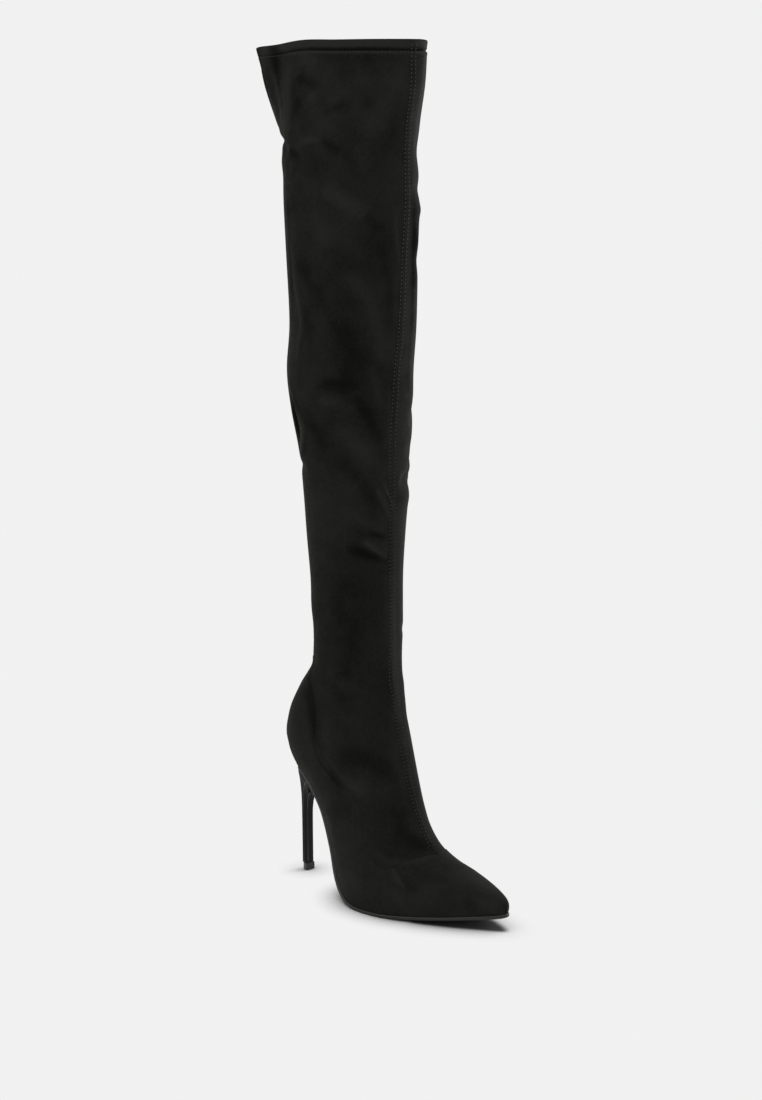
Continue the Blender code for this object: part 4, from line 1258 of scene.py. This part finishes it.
def sole_piece(finish):
    """Sole as rings round its section: across the top, down one edge, back below and up the
    other. Each edge point is the feather line moved by the edge table's margin and height."""
    t = np.linspace(0, 1, SOLE_ROWS)
    t = LEG_START * (t - 0.035 * np.sin(2 * math.pi * t))
    up = plate_normal(t)
    outer, inner = (
        [edge_line(t, name, margin) + height * up for margin, height in SOLE_EDGE]
        for name in ("edge_out", "edge_in")
    )
    share = np.linspace(0, 1, 9)[1:-1]
    across_top = [outer[0] * (1 - s) + inner[0] * s for s in share]
    across_foot = [inner[-1] * (1 - s) + outer[-1] * s for s in share]
    ring = [*across_top, *inner, *across_foot, *outer[::-1]]
    points = np.stack(ring, axis=1)
    points[..., 2] = np.maximum(points[..., 2], 0.0)
    none, full = [0.0] * len(share), [1.0] * len(share)
    low = [height < TREAD_FROM for _, height in SOLE_EDGE]
    obj = mesh_object("outsole_edge", points, grid_faces(*points.shape[:2], ring=True), finish, {
        "edge": np.tile([*none, *EDGE_HIGHLIGHT, *none, *EDGE_HIGHLIGHT[::-1]], len(t)),
        "under": np.tile([*none, *low, *full, *low[::-1]], len(t)),
    })
    return on_boot(weld(obj, 2e-6, True), "sole_rubber", "outsole")


HEEL_RINGS = 80
RING_SIDE = 40  # points on each side of the heel's outline
RING_FRONT = 12  # between its front corners
RING_CORNER = 2 * RING_SIDE - 2  # the second front corner, after the one at 0


def front_line(start, end):
    """Points on the straight line between the front corners."""
    share = np.linspace(0, 1, RING_FRONT + 2)[1:-1, None]
    return start + (end - start) * share


def stem_ring(radius, centre_x, z):
    """Round stem with a flat front, its points in the order of the seat's outline."""
    corner = math.radians(BREAST_ANGLE)
    outer = np.linspace(-corner, -math.pi, RING_SIDE)
    inner = -outer[-2::-1]
    angle = np.concatenate([outer, inner])
    x = np.minimum(radius * np.cos(angle), STEM_FLAT * radius)
    y = radius * np.sin(angle)
    ring = np.stack([centre_x + x, y, np.full_like(x, z)], axis=-1)
    return np.concatenate([ring, front_line(ring[-1], ring[0])])


def seat_ring():
    """Heel's top outline, against the underside of the sole."""
    t = np.linspace(BREAST_AT, LEG_START, RING_SIDE)
    below = plate_normal(t) * -(SOLE_THICKNESS + 2 * GAP)
    outer = edge_line(t, "edge_out", SEAT_MARGIN) + below
    inner = edge_line(t, "edge_in", SEAT_MARGIN) + below
    ring = np.concatenate([outer, inner[-2::-1]])
    return np.concatenate([ring, front_line(ring[-1], ring[0])])


def capped(name, rings, finish):
    """Closed solid through rings of points, each end filled by strips from side to side."""
    points = np.stack(rings)
    count = points.shape[1]
    left = np.arange(RING_SIDE - 1)
    right = RING_CORNER - left
    strips = np.stack([left, right, right - 1, left + 1], axis=-1)
    front = np.concatenate([np.arange(RING_CORNER, count), [0]])
    fan = np.stack([
        np.full(len(front) - 2, front[0]), front[1:-1], front[2:], front[2:],
    ], axis=-1)
    cap = np.concatenate([strips, fan[:, [0, 2, 1, 1]]])
    far = cap[:, ::-1] + (len(rings) - 1) * count
    sides = grid_faces(len(rings), count, ring=True)
    quads = np.concatenate([sides, cap, far])
    mesh = bpy.data.meshes.new(name)
    faces = [tuple(dict.fromkeys(face)) for face in quads.tolist()]
    mesh.from_pydata((points.reshape(-1, 3) * MM).tolist(), [], faces)
    mesh.materials.append(finish)
    obj = weld(placed(name, mesh), 1e-7, True)
    mesh.shade_smooth()
    mesh.set_sharp_from_angle(angle=math.radians(38))
    return obj


def heel_piece(finish):
    """Heel: the seat's outline drawn in to the stem's on smooth curves through the heel
    table's rows. A ring starts as steep as the seat, and is level once it has closed."""
    seat = seat_ring()
    back_z = seat[:, 2].max()
    foot_z = LIFT_HEIGHT + GAP
    places = np.linspace(0, len(HEEL) - 1, HEEL_RINGS)
    drops, closings, radii = (smooth(column, places) for column in zip(*HEEL))
    rings = []
    for drop, closed, radius in zip(drops, np.clip(closings, 0, 1), radii):
        ring = seat * (1 - closed) + stem_ring(radius, STEM_X, foot_z) * closed
        level = back_z + (foot_z - back_z) * drop
        ring[:, 2] = level + (seat[:, 2] - back_z) * (1 - closed)
        rings.append(ring)
    obj = capped("heel_stem", rings, finish)
    # The corner attribute marks where the painted highlight line runs.
    on_corner = np.isin(np.arange(len(rings[0])), (0, RING_CORNER))
    attribute(obj.data, "corner", np.tile(on_corner, len(rings)))
    corner = obj.modifiers.new("corner", "BEVEL")
    corner.width = 0.5 * MM
    corner.segments = 3
    corner.limit_method = "ANGLE"
    corner.angle_limit = math.radians(35)
    corner.harden_normals = True
    return on_boot(obj, "heel_gloss", "heel")


def lift_piece(finish):
    edges = (
        (0.0, -0.45), (0.2, -0.12), (0.6, 0.0), (3.0, 0.04), (5.9, 0.05), (6.3, -0.06),
        (6.5, -0.35),
    )
    rings = [stem_ring(LIFT_RADIUS + change, 0.0, z) for z, change in edges]
    return on_boot(capped("heel_tip", rings, finish), "lift_rubber", "top_lift")


# ---- stage, light, camera

BACKDROP = 0.882
FILL = (0.18, 0.57)  # strength of the unseen surroundings, on their dull and their pale side
PALE_SIDE = (0.55, 0.75, 0.36)  # direction to the pale side
CAMERA_AT = Vector((1.44412, -1.31889, 0.700))
CAMERA_HEADING = Vector((-0.67973, 0.70388, -0.20620))
CAMERA_TURN = 1.642  # degrees, about the camera's own upright axis, to bring the boot to the middle
CAMERA_LENS = 75.93
FOCUS = Vector((0.06, 0.0, 0.36))
RIGHT = Vector((0.72, 0.69, 0.0))  # as the camera sees it
BACK = Vector((-0.69, 0.72, 0.0))
# Lamps: place from the boot's middle, width and height, in metres, and power.
LAMPS = {
    "right_softbox": (RIGHT * 1.25 + BACK * 0.75 + Vector((0, 0, 0.25)), 0.7, 1.7, 16),
    "left_softbox": (RIGHT * -1.2 - BACK * 0.75 + Vector((0, 0, 0.3)), 0.8, 1.7, 6),
    "top_softbox": (Vector((0.1, -0.1, 1.6)), 2.2, 2.2, 14),
}
# The floor's grid, in mm: fine under the boot, with a wide rim. It carries a painted shadow where
# the sole is near, and is open at a distance: distances where each starts and how far on it is in
# full.
FLOOR_RIM = (300, 400, 800, 3000, 12000.0)
FLOOR_CELL = 3.0
FLOOR_ALONG, FLOOR_ACROSS = (-120, 345), (-150, 151)
PAINTED_SHADOW_EDGE = (-5.5, 6.0)
OPEN = (1.0, 26.0)
LIFTED_FROM = 5  # t behind which a raised sole counts as farther off
LIFTED_SHARE = 2.5


def floor_finish():
    """Pale floor: matt round the boot, so that it takes shadows, painted dark as a contact shadow
    where the boot stands, and beyond it as bright as the backdrop, so that no line shows where it
    ends."""
    pale = Finish("pale_floor", roughness=0.9, specular_ior_level=0.1)
    # Painted shadow: the floor's colour is dark under the sole and round the heel's tip.
    pale.colour(pale.part("unshadowed"), grey(0.09), grey(0.905))
    glow = pale.node("ShaderNodeEmission", None, {"Color": grey(BACKDROP)})
    pale.mixed(pale.part("open"), pale.shader, glow)
    return pale.material


def floor():
    """Flat square, 24 m a side, its grid fine under the boot. The attributes say how far from the
    painted shadow and how open the place is: 0 under the sole where it is low and under the heel,
    rising to 1 at a distance from both."""
    rim = np.array(FLOOR_RIM)
    along = np.concatenate([-rim[::-1], np.arange(*FLOOR_ALONG, FLOOR_CELL), rim[1:]])
    across = np.concatenate([-rim[::-1], np.arange(*FLOOR_ACROSS, FLOOR_CELL), rim])
    x, y = np.meshgrid(along, across, indexing="xy")
    t = np.linspace(0, 9, 140)
    middle, height = feather(t)
    outer, inner = foot_at("edge_out", t), foot_at("edge_in", t)
    lifted = (height - FLOOR_LEVEL) * (t > LIFTED_FROM) * LIFTED_SHARE
    under = np.hypot(x[..., None] - middle, y[..., None] - (outer + inner) / 2)
    sole = (under - (inner - outer) / 2 + lifted).min(axis=-1)
    distance = np.minimum(sole, np.hypot(x, y) - LIFT_RADIUS)
    points = np.stack([x, y, np.zeros_like(x)], axis=-1)
    shades = {"open": after(distance, *OPEN) ** 0.5, "unshadowed": after(distance, *PAINTED_SHADOW_EDGE)}
    grid_object("floor", points, floor_finish(), shades)


def softbox(name, away, width, height, power):
    """Square lamp, turned to the boot's middle."""
    light = bpy.data.lights.new(name, "AREA")
    light.shape = "RECTANGLE"
    light.size, light.size_y = width, height
    light.energy = power
    lamp = placed(name, light)
    lamp.location = FOCUS + away
    lamp.rotation_euler = (-away).to_track_quat("-Z", "Y").to_euler()


def surroundings():
    """Even pale backdrop. What lights the boot is dimmer, and paler on one side."""
    world = bpy.data.worlds.new("studio")
    bpy.context.scene.world = world
    sky = Nodes(world, "World Output")
    place = sky.node("ShaderNodeTexCoord", output="Generated")
    side = sky.node(
        "ShaderNodeVectorMath", {"operation": "DOT_PRODUCT"}, {0: place, 1: PALE_SIDE}, "Value"
    )
    strength = sky.node("ShaderNodeMapRange", None, {
        "Value": side, "From Min": -1.0, "To Min": FILL[0], "To Max": FILL[1],
    })
    fill, seen = (
        sky.node("ShaderNodeBackground", None, {"Color": grey(level), "Strength": power})
        for level, power in ((1.0, strength), (BACKDROP, 1.0))
    )
    sky.mixed(sky.node("ShaderNodeLightPath", output="Is Camera Ray"), fill, seen)


def camera():
    made = bpy.data.cameras.new("camera")
    made.sensor_fit = "VERTICAL"
    made.sensor_height = 36.0
    made.lens = CAMERA_LENS
    made.clip_start = 0.01
    made.clip_end = 100.0
    heading = CAMERA_HEADING.normalized()
    right = heading.cross(Vector((0, 0, 1))).normalized()
    upright = right.cross(heading)
    turn = Matrix.Rotation(math.radians(CAMERA_TURN), 3, upright)
    axes = Matrix((turn @ right, upright, -(turn @ heading))).transposed()
    shown = placed("camera", made)
    shown.matrix_world = Matrix.Translation(CAMERA_AT) @ axes.to_4x4()
    bpy.context.scene.camera = shown


# ---- all together

def repaint(node, finish):
    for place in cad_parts[node].material_slots:
        place.material = finish


def build():
    for name in ("Cube", "Light", "Camera"):
        if name in bpy.data.objects:
            bpy.data.objects.remove(bpy.data.objects[name], do_unlink=True)
    camera()
    surroundings()
    for name, lamp in LAMPS.items():
        softbox(name, *lamp)
    floor()
    suede_piece(brushed_suede())
    lining_piece(knit_lining())
    thread = black_thread()
    front_stitches(thread)
    hem_stitches(thread)
    facing_stitches(thread)
    zip_tape(woven_tape())
    zip_teeth(coil_nylon())
    sole_piece(sole_rubber())
    heel_piece(heel_gloss())
    lift_piece(lift_rubber())
    repaint("zip_slider", pale_nickel("slider_nickel"))
    repaint("zip_pull", pale_nickel("pull_nickel"))
    repaint("insole", board_insole())
    bpy.context.scene.view_settings.view_transform = "Standard"


build()
